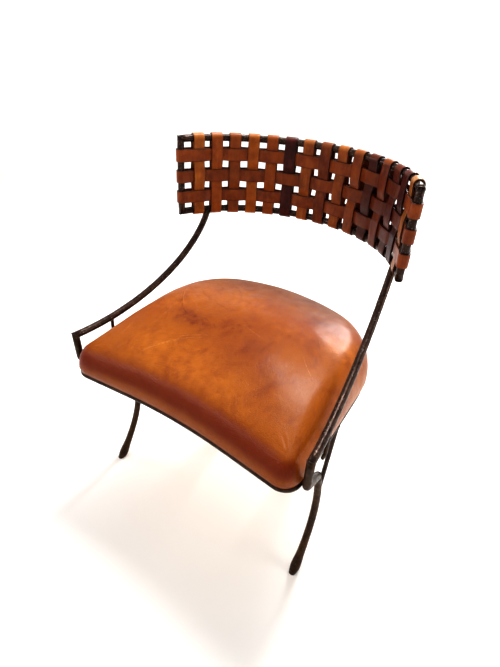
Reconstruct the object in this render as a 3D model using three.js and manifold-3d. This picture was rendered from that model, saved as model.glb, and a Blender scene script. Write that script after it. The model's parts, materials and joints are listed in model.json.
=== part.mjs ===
// Low armchair of round iron bar. Leather straps are woven through the curved back, and a
// crowned leather seat lies on a ring of thinner bar.
// Millimetres, +Z up. The sitter faces -Y. Left and right are as seen by someone facing the chair,
// so right is +X. Heights are above the floor. Depths are behind the front posts, until the whole
// chair is centred over the origin at the end.
import * as THREE from 'three';
import Module from 'manifold-3d';

const wasm = await Module();
wasm.setup();

// Bars
const rod_diameter = 16;
const thin_rod_diameter = 10;
const strut_diameter = 8;
const fit_gap = 0.3;

// Curved back: two rails bent to one radius and two end posts, mitred at the corners
const back_radius = 297;
const back_axis_depth = 231;
const back_bottom_height = 633;
const back_height = 169;

// Straps: upright ones loop round the rails, bands loop round the end posts
const strap_width = 26;
const strap_thickness = 3;
const strap_pitch = 45.5;
const band_pitch = 48;
const end_post_distance = 43.5;
const weave_margin = 1;
const strap_count = 15;
const band_count = 3;

// Arms: each rod runs from the front post in one sweep to the back's bottom rail
const arm_spread = 600;
const arm_front_height = 424;
const arm_front_handle_spread = 561;
const arm_front_handle_depth = 160;
const arm_front_handle_height = 427;
const arm_top_handle_spread = 498;
const arm_top_handle_depth = 341;
const arm_top_handle_height = 514;
const arm_top_rail_distance = 291.4;

// Front posts: down from the arm, then bent back to the top of the leg
const post_foot_spread = 596;
const post_foot_depth = 3;
const post_foot_height = 360;
const post_bend_radius = 20;

// Front legs: one curve from the knee to the floor, swelling at the foot
const knee_spread = 542;
const knee_depth = 123;
const knee_height = 258;
const leg_upper_handle_depth = 155;
const leg_upper_handle_height = 176;
const leg_lower_handle_depth = 138;
const leg_lower_handle_height = 96;
const foot_spread = 554;
const foot_depth = 67;
const foot_swelling = 5;
const foot_swelling_height = 34;
const foot_round_height = 13;

// Rear legs: under the rear bow, with the same foot
const rear_leg_spread = 226;
const rear_leg_saddle = 1.5;
const rear_leg_upper_handle_depth = 402;
const rear_leg_upper_handle_height = 230;
const rear_leg_lower_handle_depth = 422;
const rear_leg_lower_handle_height = 85;
const rear_foot_depth = 476;

// Thin bars: braces from leg to side rail, and struts from arm to side rail
const brace_foot_depth = 138;
const brace_foot_height = 168;
const brace_top_depth = 189;
const strut_depth = 94;
const strut_bend_height = 360;
const strut_bend_radius = 12;

// Seat ring, measured on the middle line of its bar
const ring_height = 348;
const ring_front_corner_spread = 569;
const ring_front_corner_depth = -26;
const ring_front_middle_depth = 3;
const ring_front_bend_radius = 1300;
const ring_front_corner_radius = 31;
const ring_rear_corner_spread = 499;
const ring_rear_corner_depth = 424;
const ring_rear_middle_depth = 484;
const ring_rear_corner_radius = 174;
const ring_rear_bend_radius = 500;
const ring_front_joint_depth = 46;
const ring_rear_joint_depth = 265;

// Upholstered seat: board, foam and a leather cover that turns under the board
const board_thickness = 12;
const board_inset = 9;
const cover_thickness = 2;
const cover_hem_width = 24;
const cover_tuck = 4;
const cover_turn = 5;
const cover_bulge = 1.8;
const cover_rear_bulge = 3;
const post_dent = 5;
const post_dent_reach = 40;
const seat_corner_rise = 54;
const seat_side_rise = 56;
const seat_side_rise_depth = 315;
const seat_front_crown = 6;
const seat_middle_crown = 10;
const seat_shoulder_reach = 44;
const seat_corner_reach = 28;
const seat_corner_blend = 90;
const seat_middle_depth = 215;

// Fixing tabs on the side rails, and screws up into the board
const tab_length = 34;
const tab_width = 24;
const tab_thickness = 3;
const tab_front_depth = 120;
const tab_rear_depth = 245;
const screw_diameter = 4.4;
const screw_length = 15;
const screw_head_diameter = 9;
const screw_head_height = 3;
const screw_inset = 22;
const screw_clearance = 0.4;

// Facets and shares
const rod_sides = 10;
const screw_sides = 14;
const arm_steps = 20;
const leg_steps = 14;
const bend_steps = 5;
const wrap_steps = 6;
const seat_side_steps = 4;
const shoulder_steps = 5;
const crown_shares = [0.75, 0.45, 0.18];
const seat_side_share = 0.22;
const foot_end_share = 0.5;
const screw_tip_share = 0.25;

const iron = new THREE.MeshStandardMaterial({ color: 0x3a2a24, roughness: 0.5, metalness: 0.7 });
const strap_leather = new THREE.MeshStandardMaterial({ color: 0x8a4216, roughness: 0.5, metalness: 0 });
const band_leather = new THREE.MeshStandardMaterial({ color: 0x6b2e14, roughness: 0.5, metalness: 0 });
const seat_leather = new THREE.MeshStandardMaterial({ color: 0xb0561c, roughness: 0.4, metalness: 0 });
const plywood = new THREE.MeshStandardMaterial({ color: 0xc29a68, roughness: 0.8, metalness: 0 });
const foam = new THREE.MeshStandardMaterial({ color: 0xe6d9a8, roughness: 0.95, metalness: 0 });
const zinc = new THREE.MeshStandardMaterial({ color: 0x9a9a98, roughness: 0.4, metalness: 0.9 });

const chair = new THREE.Group();
const rod_radius = rod_diameter / 2;
const thin_radius = thin_rod_diameter / 2;
const strut_radius = strut_diameter / 2;
const up = new THREE.Vector3(0, 0, 1);
const down = new THREE.Vector3(0, 0, -1);
const sideways = new THREE.Vector3(1, 0, 0);

function point(x, y, z) {
  return new THREE.Vector3(x, y, z);
}

function direction(from, to) {
  return new THREE.Vector3().subVectors(to, from).normalize();
}

// Solids

function body(positions, index) {
  const geometry = new THREE.BufferGeometry();
  geometry.setAttribute('position', new THREE.BufferAttribute(new Float32Array(positions), 3));
  geometry.setIndex(new THREE.BufferAttribute(new Uint32Array(index), 1));
  return geometry;
}

function turn_inside_out(geometry) {
  const corners = geometry.index.array;
  for (let i = 0; i < corners.length; i += 3) {
    [corners[i], corners[i + 1]] = [corners[i + 1], corners[i]];
  }
  return geometry;
}

function signed_volume(geometry) {
  const corners = [new THREE.Vector3(), new THREE.Vector3(), new THREE.Vector3()];
  let volume = 0;
  for (let i = 0; i < geometry.index.count; i += 3) {
    corners.forEach((corner, k) => {
      corner.fromBufferAttribute(geometry.attributes.position, geometry.index.getX(i + k));
    });
    volume += corners[0].dot(corners[1].clone().cross(corners[2]));
  }
  return volume;
}

// A closed body from rings of equal length, in order along the body, with a fan at each end. A
// bent quad splits along its higher diagonal, so that nested skins stay clear of each other.
function loft(rings) {
  const count = rings[0].length;
  const last = rings.length - 1;
  const vertices = rings.flat();
  const index = [];
  for (let ring = 0; ring < last; ring += 1) {
    for (let i = 0; i < count; i += 1) {
      const corners = [ring * count + i, ring * count + (i + 1) % count];
      corners.push(corners[1] + count, corners[0] + count);
      const [a, b, c, d] = corners.map((corner) => vertices[corner].z);
      const order = a + c >= b + d ? [0, 1, 2, 0, 2, 3] : [1, 2, 3, 1, 3, 0];
      index.push(...order.map((corner) => corners[corner]));
    }
  }
  const middles = [rings[0], rings[last]].map((ring) => (
    ring.reduce((sum, vertex) => sum.addScaledVector(vertex, 1 / count), point(0, 0, 0))
  ));
  for (let i = 0; i < count; i += 1) {
    const next = (i + 1) % count;
    index.push(vertices.length, next, i);
    index.push(vertices.length + 1, last * count + i, last * count + next);
  }
  vertices.push(...middles);
  const geometry = body(vertices.flatMap(({ x, y, z }) => [x, y, z]), index);
  return signed_volume(geometry) < 0 ? turn_inside_out(geometry) : geometry;
}

function to_solid(geometry) {
  const mesh = new wasm.Mesh({
    numProp: 3,
    vertProperties: new Float32Array(geometry.attributes.position.array),
    triVerts: new Uint32Array(geometry.index.array),
  });
  return new wasm.Manifold(mesh);
}

function cut(geometry, tools) {
  let solid = to_solid(geometry);
  for (const tool of tools) {
    solid = solid.subtract(to_solid(tool));
  }
  const mesh = solid.getMesh();
  return body(mesh.vertProperties, mesh.triVerts);
}

// The mirror image of a piece made for the right side
function on_side(geometry, side) {
  return side < 0 ? turn_inside_out(geometry.scale(-1, 1, 1)) : geometry;
}

function add_piece(name, geometry, material) {
  const mesh = new THREE.Mesh(geometry, material);
  mesh.name = name;
  chair.add(mesh);
}

function add_pair(name, make, material) {
  for (const [suffix, side] of [['left', -1], ['right', 1]]) {
    add_piece(`${name}_${suffix}`, on_side(make(), side), material);
  }
}

// Bars

function round_section(radius, sides = rod_sides) {
  const section = [];
  for (let i = 0; i < sides; i += 1) {
    const angle = Math.PI * 2 * i / sides;
    section.push(new THREE.Vector2(radius * Math.cos(angle), radius * Math.sin(angle)));
  }
  return section;
}

function flat_section(width, thickness) {
  return [
    new THREE.Vector2(width / 2, thickness / 2),
    new THREE.Vector2(-width / 2, thickness / 2),
    new THREE.Vector2(-width / 2, -thickness / 2),
    new THREE.Vector2(width / 2, -thickness / 2),
  ];
}

// One ring of the section at each station, carried along without twist. The section's first
// coordinate starts out along the given direction.
function bar_rings(section, stations, first_across, scales = []) {
  const across = first_across.clone();
  const last = stations.length - 1;
  return stations.map((station, i) => {
    const tangent = direction(stations[Math.max(i - 1, 0)], stations[Math.min(i + 1, last)]);
    across.addScaledVector(tangent, -across.dot(tangent)).normalize();
    const other = new THREE.Vector3().crossVectors(tangent, across);
    const scale = scales[i] ?? 1;
    return section.map((corner) => station.clone()
      .addScaledVector(across, corner.x * scale)
      .addScaledVector(other, corner.y * scale));
  });
}

// Slides the ring at the end of a bar along the bar until it lies in a plane
function slide_ring(ring, along, plane_point, plane_normal) {
  for (const vertex of ring) {
    const distance = new THREE.Vector3().subVectors(plane_point, vertex).dot(plane_normal);
    vertex.addScaledVector(along, distance / along.dot(plane_normal));
  }
}

// Clears a rod of the given stations by the gap, facets included
function rod_tool(stations, across, radius = rod_radius) {
  const clear_radius = (radius + fit_gap) / Math.cos(Math.PI / rod_sides);
  return loft(bar_rings(round_section(clear_radius), stations, across));
}

function thin_rod(stations) {
  return loft(bar_rings(round_section(thin_radius), stations, up));
}

// Stations along straight runs, with an arc of the given radius at each inner corner
function bent_path(corners, radii) {
  const stations = [corners[0]];
  for (let i = 1; i < corners.length - 1; i += 1) {
    const arriving = direction(corners[i - 1], corners[i]);
    const leaving = direction(corners[i], corners[i + 1]);
    const turn = arriving.angleTo(leaving);
    const radius = radii[i - 1];
    const inward = leaving.clone().addScaledVector(arriving, -leaving.dot(arriving)).normalize();
    const start = corners[i].clone().addScaledVector(arriving, -radius * Math.tan(turn / 2));
    for (let step = 0; step <= bend_steps; step += 1) {
      const angle = turn * step / bend_steps;
      stations.push(start.clone()
        .addScaledVector(arriving, radius * Math.sin(angle))
        .addScaledVector(inward, radius * (1 - Math.cos(angle))));
    }
  }
  stations.push(corners[corners.length - 1]);
  return stations;
}

function swept_path(corners, steps) {
  return new THREE.CubicBezierCurve3(...corners).getPoints(steps);
}

// Where a path that always gains along an axis passes a distance on that axis
function path_point_at(stations, axis, distance) {
  const after = stations.findIndex((station) => station[axis] > distance);
  const [start, end] = [stations[after - 1], stations[after]];
  return start.clone().lerp(end, (distance - start[axis]) / (end[axis] - start[axis]));
}

// Curved back frame

const back_top_height = back_bottom_height + back_height;
const strap_angle = strap_pitch / back_radius;
const end_post_angle = strap_angle * (strap_count - 1) / 2 + end_post_distance / back_radius;

function back_direction(angle) {
  return point(Math.sin(angle), Math.cos(angle), 0);
}

function back_point(angle, offset, height) {
  return back_direction(angle).multiplyScalar(back_radius + offset).add(point(0, back_axis_depth, height));
}

function strap_angle_at(strap) {
  return strap_angle * (strap - (strap_count - 1) / 2);
}

// A rail has one straight facet under each strap, at the back's radius
const flat_half_length = strap_width / 2 + weave_margin;
const flat_half_angle = Math.atan(flat_half_length / back_radius);

function rail_stations(height) {
  const corner_offset = back_radius / Math.cos(flat_half_angle) - back_radius;
  const stations = [back_point(-end_post_angle, 0, height)];
  for (let strap = 0; strap < strap_count; strap += 1) {
    const angle = strap_angle_at(strap);
    stations.push(back_point(angle - flat_half_angle, corner_offset, height));
    stations.push(back_point(angle + flat_half_angle, corner_offset, height));
  }
  stations.push(back_point(end_post_angle, 0, height));
  return stations;
}

// Rails and end posts meet at 45 degrees, each half a gap back from the joint plane
function add_back_rail(name, height, away) {
  const stations = rail_stations(height);
  const rings = bar_rings(round_section(rod_radius), stations, up);
  const last = stations.length - 1;
  for (const [end, inner] of [[0, 1], [last, last - 1]]) {
    const outward = direction(stations[inner], stations[end]);
    const normal = outward.clone().sub(away).normalize();
    slide_ring(rings[end], outward, stations[end].clone().addScaledVector(normal, -fit_gap / 2), normal);
  }
  add_piece(name, loft(rings), iron);
}

add_back_rail('back_top_rail', back_top_height, up);
add_back_rail('back_bottom_rail', back_bottom_height, down);

function end_post() {
  const [inner, foot] = rail_stations(back_bottom_height).slice(-2);
  const head = foot.clone().setZ(back_top_height);
  const outward = direction(inner, foot);
  const rings = bar_rings(round_section(rod_radius), [foot, head], back_direction(end_post_angle));
  for (const [ring, end, away] of [[rings[0], foot, down], [rings[1], head, up]]) {
    const normal = outward.clone().sub(away).normalize();
    slide_ring(ring, up, end.clone().addScaledVector(normal, fit_gap / 2), normal);
  }
  return loft(rings);
}

add_pair('back_end_post', end_post, iron);

// Woven straps. A strap wraps its two bars, and its two layers cross the other straps over and
// under. Where they cross, both lie flat, one strap's thickness apart, and they ramp in between.

const wrap_offset = rod_radius + fit_gap + strap_thickness / 2;
const weave_offset = (strap_thickness + fit_gap) / 2;
const back_middle_height = back_bottom_height + back_height / 2;

function band_height_at(band) {
  return back_middle_height + band_pitch * ((band_count - 1) / 2 - band);
}

// One where the upright strap passes outside the band, minus one where it passes inside
function weave_side(strap, band) {
  return (strap + band) % 2 === 0 ? -1 : 1;
}

// Distance along one layer and offset from its middle: flat at each crossing, a ramp in between
function weave_marks(length, crossings) {
  const marks = [{ at: 0, offset: 0, crossing: -1 }];
  const add_ramp = (next) => {
    const last = marks[marks.length - 1];
    marks.push({ at: (last.at + next.at) / 2, offset: (last.offset + next.offset) / 2, crossing: -1 });
    marks.push(next);
  };
  crossings.forEach(({ at, side }, crossing) => {
    add_ramp({ at: at - flat_half_length, offset: side * weave_offset, crossing });
    marks.push({ at: at + flat_half_length, offset: side * weave_offset, crossing });
  });
  add_ramp({ at: length, offset: 0, crossing: -1 });
  return marks;
}

// A half turn round a bar, without its two end stations
function wrap_stations(middle, start, outward) {
  const stations = [];
  const radius = wrap_offset / Math.cos(Math.PI / wrap_steps / 2);
  for (let step = 1; step < wrap_steps; step += 1) {
    const angle = Math.PI * step / wrap_steps;
    stations.push(middle.clone()
      .addScaledVector(start, radius * Math.cos(angle))
      .addScaledVector(outward, radius * Math.sin(angle)));
  }
  return stations;
}

// Both layers and both wraps as one loop. The ends butt in the rear layer, in the middle of the
// given crossing, where the other strap covers them.
function loop_stations(marks, layer, last_wrap, first_wrap, seam_crossing) {
  const rear = layer(1).reverse();
  const seam = marks.length - 1 - marks.findLastIndex(({ crossing }) => crossing === seam_crossing);
  const middle = rear[seam].clone().lerp(rear[seam + 1], 1 / 2);
  const half_gap = direction(rear[seam], rear[seam + 1]).multiplyScalar(fit_gap / 2);
  return [
    middle.clone().add(half_gap), ...rear.slice(seam + 1), ...first_wrap,
    ...layer(-1), ...last_wrap,
    ...rear.slice(0, seam + 1), middle.clone().sub(half_gap),
  ];
}

function upright_strap(strap) {
  const angle = strap_angle_at(strap);
  const outward = back_direction(angle);
  const crossings = [];
  for (let band = band_count - 1; band >= 0; band -= 1) {
    crossings.push({ at: band_height_at(band) - back_bottom_height, side: weave_side(strap, band) });
  }
  const marks = weave_marks(back_height, crossings);
  const layer = (side) => marks.map(({ at, offset }) => (
    back_point(angle, side * (wrap_offset + offset), back_bottom_height + at)
  ));
  const stations = loop_stations(
    marks,
    layer,
    wrap_stations(back_point(angle, 0, back_top_height), outward.clone().negate(), up),
    wrap_stations(back_point(angle, 0, back_bottom_height), outward, down),
    crossings.findIndex(({ side }) => side < 0),
  );
  const across = point(Math.cos(angle), -Math.sin(angle), 0);
  return loft(bar_rings(flat_section(strap_width, strap_thickness), stations, across));
}

for (let strap = 0; strap < strap_count; strap += 1) {
  add_piece(`upright_strap_${strap + 1}`, upright_strap(strap), strap_leather);
}

function cross_band(band) {
  const height = band_height_at(band);
  const crossings = [];
  for (let strap = 0; strap < strap_count; strap += 1) {
    const at = (strap_angle_at(strap) + end_post_angle) * back_radius;
    crossings.push({ at, side: -weave_side(strap, band) });
  }
  const marks = weave_marks(2 * end_post_angle * back_radius, crossings);
  const layer = (side) => marks.map(({ at, offset, crossing }) => {
    const angle = at / back_radius - end_post_angle;
    const middle = crossing < 0 ? angle : strap_angle_at(crossing);
    const across = point(Math.cos(middle), -Math.sin(middle), 0);
    return back_point(middle, side * (wrap_offset + offset), height)
      .addScaledVector(across, (angle - middle) * back_radius);
  });
  const wrap = (side) => wrap_stations(
    back_point(side * end_post_angle, 0, height),
    back_direction(side * end_post_angle).multiplyScalar(-side),
    point(side * Math.cos(end_post_angle), -Math.sin(end_post_angle), 0),
  );
  const stations = loop_stations(marks, layer, wrap(1), wrap(-1), (strap_count - 1) / 2 + band % 2);
  return loft(bar_rings(flat_section(strap_width, strap_thickness), stations, up));
}

for (let band = 0; band < band_count; band += 1) {
  add_piece(`cross_band_${band + 1}`, cross_band(band), band_leather);
}

// Arms, front posts and legs

const arm_front = point(arm_spread / 2, 0, arm_front_height);
const arm_stations = swept_path([
  arm_front,
  point(arm_front_handle_spread / 2, arm_front_handle_depth, arm_front_handle_height),
  point(arm_top_handle_spread / 2, arm_top_handle_depth, arm_top_handle_height),
  back_point(arm_top_rail_distance / back_radius, 0, back_bottom_height),
], arm_steps);
const knee = point(knee_spread / 2, knee_depth, knee_height);
const leg_stations = swept_path([
  knee,
  point(knee_spread / 2, leg_upper_handle_depth, leg_upper_handle_height),
  point(foot_spread / 2, leg_lower_handle_depth, leg_lower_handle_height),
  point(foot_spread / 2, foot_depth, 0),
], leg_steps);
const post_foot = point(post_foot_spread / 2, post_foot_depth, post_foot_height);
const post_stations = bent_path([arm_front, post_foot, knee], [post_bend_radius]);

const arm_start = direction(arm_front, arm_stations[1]);
const post_start = direction(arm_front, post_foot);
const post_end = direction(post_foot, knee);
const leg_start = direction(knee, leg_stations[1]);
const arm_joint_normal = arm_start.clone().sub(post_start).normalize();
const knee_normal = post_end.clone().add(leg_start).normalize();

function arm() {
  const rings = bar_rings(round_section(rod_radius), arm_stations, up);
  const start = arm_front.clone().addScaledVector(arm_joint_normal, fit_gap / 2);
  slide_ring(rings[0], arm_start, start, arm_joint_normal);
  return cut(loft(rings), [rod_tool(rail_stations(back_bottom_height), up)]);
}

add_pair('arm', arm, iron);

function front_post() {
  const rings = bar_rings(round_section(rod_radius), post_stations, sideways);
  const start = arm_front.clone().addScaledVector(arm_joint_normal, -fit_gap / 2);
  slide_ring(rings[0], post_start, start, arm_joint_normal);
  const end = knee.clone().addScaledVector(knee_normal, -fit_gap / 2);
  slide_ring(rings[rings.length - 1], post_end, end, knee_normal);
  return loft(rings);
}

add_pair('front_post', front_post, iron);

// A leg swells towards the foot, is rounded in at the floor and is cut level there
function leg_rings(stations) {
  const scales = stations.map(({ z }) => {
    const share = Math.max(0, 1 - Math.max(z - foot_round_height, 0) / foot_swelling_height);
    return 1 + foot_swelling / rod_diameter * share * (z < foot_round_height ? foot_end_share : 1);
  });
  const rings = bar_rings(round_section(rod_radius), stations, sideways, scales);
  const last = stations.length - 1;
  slide_ring(rings[last], direction(stations[last - 1], stations[last]), point(0, 0, 0), up);
  return rings;
}

function front_leg() {
  const rings = leg_rings(leg_stations);
  const start = knee.clone().addScaledVector(knee_normal, fit_gap / 2);
  slide_ring(rings[0], leg_start, start, knee_normal);
  return loft(rings);
}

add_pair('front_leg', front_leg, iron);

// Seat ring

const ring_top = ring_height + thin_radius;
const ring_foot = ring_height - thin_radius;

function ring_side_point(side, depth) {
  const share = (depth - ring_front_corner_depth) / (ring_rear_corner_depth - ring_front_corner_depth);
  const spread = ring_front_corner_spread + (ring_rear_corner_spread - ring_front_corner_spread) * share;
  return point(side * spread / 2, depth, ring_height);
}

const ring_front_stations = bent_path([
  ring_side_point(-1, ring_front_joint_depth),
  ring_side_point(-1, ring_front_corner_depth),
  point(0, ring_front_middle_depth, ring_height),
  ring_side_point(1, ring_front_corner_depth),
  ring_side_point(1, ring_front_joint_depth),
], [ring_front_corner_radius, ring_front_bend_radius, ring_front_corner_radius]);
const ring_rear_stations = bent_path([
  ring_side_point(1, ring_rear_joint_depth),
  ring_side_point(1, ring_rear_corner_depth),
  point(0, ring_rear_middle_depth, ring_height),
  ring_side_point(-1, ring_rear_corner_depth),
  ring_side_point(-1, ring_rear_joint_depth),
], [ring_rear_corner_radius, ring_rear_bend_radius, ring_rear_corner_radius]);

// The ring's front corners are coped to the posts that they are welded to
function front_rail() {
  const posts = [-1, 1].map((side) => on_side(rod_tool(post_stations, sideways), side));
  return cut(thin_rod(ring_front_stations), posts);
}

add_piece('seat_front_rail', front_rail(), iron);
add_piece('seat_rear_bow', thin_rod(ring_rear_stations), iron);

const side_rail_stations = [
  ring_side_point(1, ring_front_joint_depth + fit_gap),
  ring_side_point(1, ring_rear_joint_depth - fit_gap),
];

function side_rail() {
  return thin_rod(side_rail_stations);
}

add_pair('seat_side_rail', side_rail, iron);

// The rear legs stand under the rear bow and are coped to it
const rear_leg_head = path_point_at([...ring_rear_stations].reverse(), 'x', rear_leg_spread / 2)
  .setZ(ring_foot + rear_leg_saddle);
const rear_leg_stations = swept_path([
  rear_leg_head,
  point(rear_leg_spread / 2, rear_leg_upper_handle_depth, rear_leg_upper_handle_height),
  point(rear_leg_spread / 2, rear_leg_lower_handle_depth, rear_leg_lower_handle_height),
  point(rear_leg_spread / 2, rear_foot_depth, 0),
], leg_steps);

function rear_leg() {
  const rings = leg_rings(rear_leg_stations);
  slide_ring(rings[0], direction(rear_leg_head, rear_leg_stations[1]), rear_leg_head, up);
  return cut(loft(rings), [rod_tool(ring_rear_stations, up, thin_radius)]);
}

add_pair('rear_leg', rear_leg, iron);

function leg_brace() {
  const foot = point(knee_spread / 2, brace_foot_depth, brace_foot_height);
  const head = ring_side_point(1, brace_top_depth);
  return cut(loft(bar_rings(round_section(thin_radius), [foot, head], sideways)), [
    rod_tool(leg_stations, sideways),
    rod_tool(side_rail_stations, up, thin_radius),
  ]);
}

add_pair('leg_brace', leg_brace, iron);

// A strut drops straight from the arm, then turns in under the seat to the side rail
function arm_strut() {
  const head = path_point_at(arm_stations, 'y', strut_depth);
  const bend = head.clone().setZ(strut_bend_height);
  const foot = ring_side_point(1, strut_depth).setZ(ring_foot);
  foot.addScaledVector(sideways, thin_radius + strut_radius);
  const stations = bent_path([foot, bend, head], [strut_bend_radius]);
  const rings = bar_rings(round_section(strut_radius), stations, sideways);
  slide_ring(rings[0], direction(foot, bend), foot, up);
  return cut(loft(rings), [
    rod_tool(arm_stations, up),
    rod_tool(side_rail_stations, up, thin_radius),
  ]);
}

add_pair('arm_strut', arm_strut, iron);

// Upholstered seat

const seat_middle = point(0, seat_middle_depth, 0);
const seat_half_width = ring_front_corner_spread / 2 + thin_radius;

// Extra stations on one straight side, from one joint to the other
function seat_side_stations(side, start, end) {
  const stations = [];
  for (let step = 1; step < seat_side_steps; step += 1) {
    stations.push(ring_side_point(side, start + (end - start) * step / seat_side_steps));
  }
  return stations;
}

const seat_outline = [
  ...seat_side_stations(-1, ring_rear_joint_depth, ring_front_joint_depth),
  ...ring_front_stations,
  ...seat_side_stations(1, ring_front_joint_depth, ring_rear_joint_depth),
  ...ring_rear_stations,
];

function seat_depth_share(y) {
  return Math.max(0, Math.min(1, (y - ring_front_corner_depth) / seat_side_rise_depth));
}

// Height of the top above the ring: low at the front corners, rising to the rear and, along the
// front, to the middle
function seat_rise(x, y) {
  const depth_share = seat_depth_share(y);
  const width_share = x / seat_half_width;
  return seat_corner_rise + seat_side_rise * Math.sin(Math.PI / 2 * depth_share)
    + seat_front_crown * (1 - width_share * width_share) * (1 - depth_share);
}

// The seat is pressed in where it passes the front posts
function dent_beside_post({ x, y }) {
  const distance = Math.hypot(Math.abs(x) - post_foot.x, y - post_foot.y);
  return post_dent * Math.max(0, 1 - distance / post_dent_reach);
}

// How far the rounded shoulder reaches in from the side, less at the tight front corners
function shoulder_reach({ x, y }) {
  const distance = Math.hypot(Math.abs(x) - ring_front_corner_spread / 2, y - ring_front_corner_depth);
  const share = Math.min(1, distance / seat_corner_blend);
  return seat_corner_reach + (seat_shoulder_reach - seat_corner_reach) * share;
}

// The seat's outline drawn in by the inset, by a share of the shoulder's reach and towards the
// middle, and drawn out by a share of the bulge, at the heights made from the rise there
function seat_ring({ inset, shoulder = 0, bulge = 0, share = 1, height }) {
  return seat_outline.map((station, i) => {
    const before = seat_outline[(i + seat_outline.length - 1) % seat_outline.length];
    const after = seat_outline[(i + 1) % seat_outline.length];
    const along = direction(before, after);
    const outward = thin_radius - inset - dent_beside_post(station)
      - (shoulder_reach(station) - inset) * shoulder
      + (cover_bulge + cover_rear_bulge * seat_depth_share(station.y)) * bulge;
    const spot = station.clone().addScaledVector(point(along.y, -along.x, 0), outward);
    spot.sub(seat_middle).multiplyScalar(share).add(seat_middle);
    return spot.setZ(ring_top + height(seat_rise(spot.x, spot.y)));
  });
}

function level_ring(inset, height) {
  return seat_ring({ inset, height: () => height - ring_top });
}

// One skin of the seat, at a depth inside the cover: up the side, over the elliptical shoulder
// and on to the crown
function seat_skin(depth) {
  const rings = [level_ring(depth, ring_top + cover_turn)];
  for (let step = 0; step <= shoulder_steps; step += 1) {
    const angle = Math.PI / 2 * step / shoulder_steps;
    const height_share = seat_side_share + (1 - seat_side_share) * Math.sin(angle);
    rings.push(seat_ring({
      inset: depth,
      shoulder: 1 - Math.cos(angle),
      bulge: Math.cos(angle),
      height: (rise) => (rise - depth) * height_share,
    }));
  }
  for (const share of crown_shares) {
    const crown = seat_middle_crown * (1 - share * share);
    rings.push(seat_ring({ inset: depth, shoulder: 1, share, height: (rise) => rise + crown - depth }));
  }
  return rings;
}

const cover_foot = ring_top + fit_gap;
const hem_top = cover_foot + cover_thickness;
const board_foot = hem_top + fit_gap;
const board_top = board_foot + board_thickness;

function seat_cover() {
  return loft([
    ...seat_skin(cover_thickness).reverse(),
    level_ring(cover_tuck + cover_thickness, hem_top),
    level_ring(cover_tuck + cover_hem_width, hem_top),
    level_ring(cover_tuck + cover_hem_width, cover_foot),
    level_ring(cover_tuck, cover_foot),
    ...seat_skin(0),
  ]);
}

add_piece('seat_cover', seat_cover(), seat_leather);

function seat_foam() {
  const lining = cover_thickness + fit_gap;
  const above_board = seat_skin(lining).filter((ring) => ring.every(({ z }) => z > board_top + lining));
  return loft([level_ring(lining, board_top + fit_gap), ...above_board]);
}

add_piece('seat_foam', seat_foam(), foam);

// Fixing tabs, screws and the board

const hole_radius = screw_diameter / 2 + screw_clearance;
const tab_height = ring_top - tab_thickness;
const tab_foot = tab_height - tab_thickness / 2;
const screw_head_top = tab_foot - fit_gap;

// A spot inside the right side rail, a distance in from its middle line
function inside_rail(depth, distance, height) {
  const along = direction(ring_side_point(1, ring_front_joint_depth), ring_side_point(1, depth));
  return ring_side_point(1, depth).setZ(height).addScaledVector(point(-along.y, along.x, 0), distance);
}

function turned(x, y, levels) {
  return loft(levels.map(([height, radius]) => (
    round_section(radius, screw_sides).map((corner) => point(x + corner.x, y + corner.y, height))
  )));
}

function screw_hole(depth, head) {
  const { x, y } = inside_rail(depth, screw_inset + thin_radius, 0);
  return turned(x, y, [[tab_foot - tab_thickness, hole_radius], [head, hole_radius]]);
}

function fixing_tab(depth) {
  const start = thin_radius + fit_gap;
  const ends = [start, start + tab_length].map((distance) => inside_rail(depth, distance, tab_height));
  const tab = loft(bar_rings(flat_section(tab_thickness, tab_width), ends, up));
  return cut(tab, [screw_hole(depth, ring_top + tab_thickness)]);
}

function fixing_screw(depth) {
  const { x, y } = inside_rail(depth, screw_inset + thin_radius, 0);
  const head_radius = screw_head_diameter / 2;
  const tip = screw_head_top + screw_length;
  return turned(x, y, [
    [screw_head_top - screw_head_height, head_radius - screw_head_height / 2],
    [screw_head_top - screw_head_height / 2, head_radius],
    [screw_head_top, head_radius],
    [screw_head_top, screw_diameter / 2],
    [tip - screw_diameter, screw_diameter / 2],
    [tip, screw_diameter / 2 * screw_tip_share],
  ]);
}

for (const [place, depth] of [['front', tab_front_depth], ['rear', tab_rear_depth]]) {
  add_pair(`${place}_tab`, () => fixing_tab(depth), iron);
  add_pair(`${place}_screw`, () => fixing_screw(depth), zinc);
}

function seat_board() {
  const holes = [];
  for (const depth of [tab_front_depth, tab_rear_depth]) {
    for (const side of [-1, 1]) {
      const head = screw_head_top + screw_length + screw_clearance;
      holes.push(on_side(screw_hole(depth, head), side));
    }
  }
  return cut(loft([level_ring(board_inset, board_foot), level_ring(board_inset, board_top)]), holes);
}

add_piece('seat_board', seat_board(), plywood);

// The origin is on the floor under the middle of the whole chair
const bounds = new THREE.Box3().setFromObject(chair);
chair.position.y = -(bounds.min.y + bounds.max.y) / 2;
chair.updateMatrixWorld(true);

export default chair;
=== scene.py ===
"""Looks of the low woven-back armchair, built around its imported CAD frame.

Lengths are in millimetres in the CAD source's own axes, with depths behind the front posts.
place() turns them into metres in the part's frame.
"""

import json
import math

import bpy
import numpy as np
from mathutils import Matrix, Vector, noise
from mathutils.bvhtree import BVHTree


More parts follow.
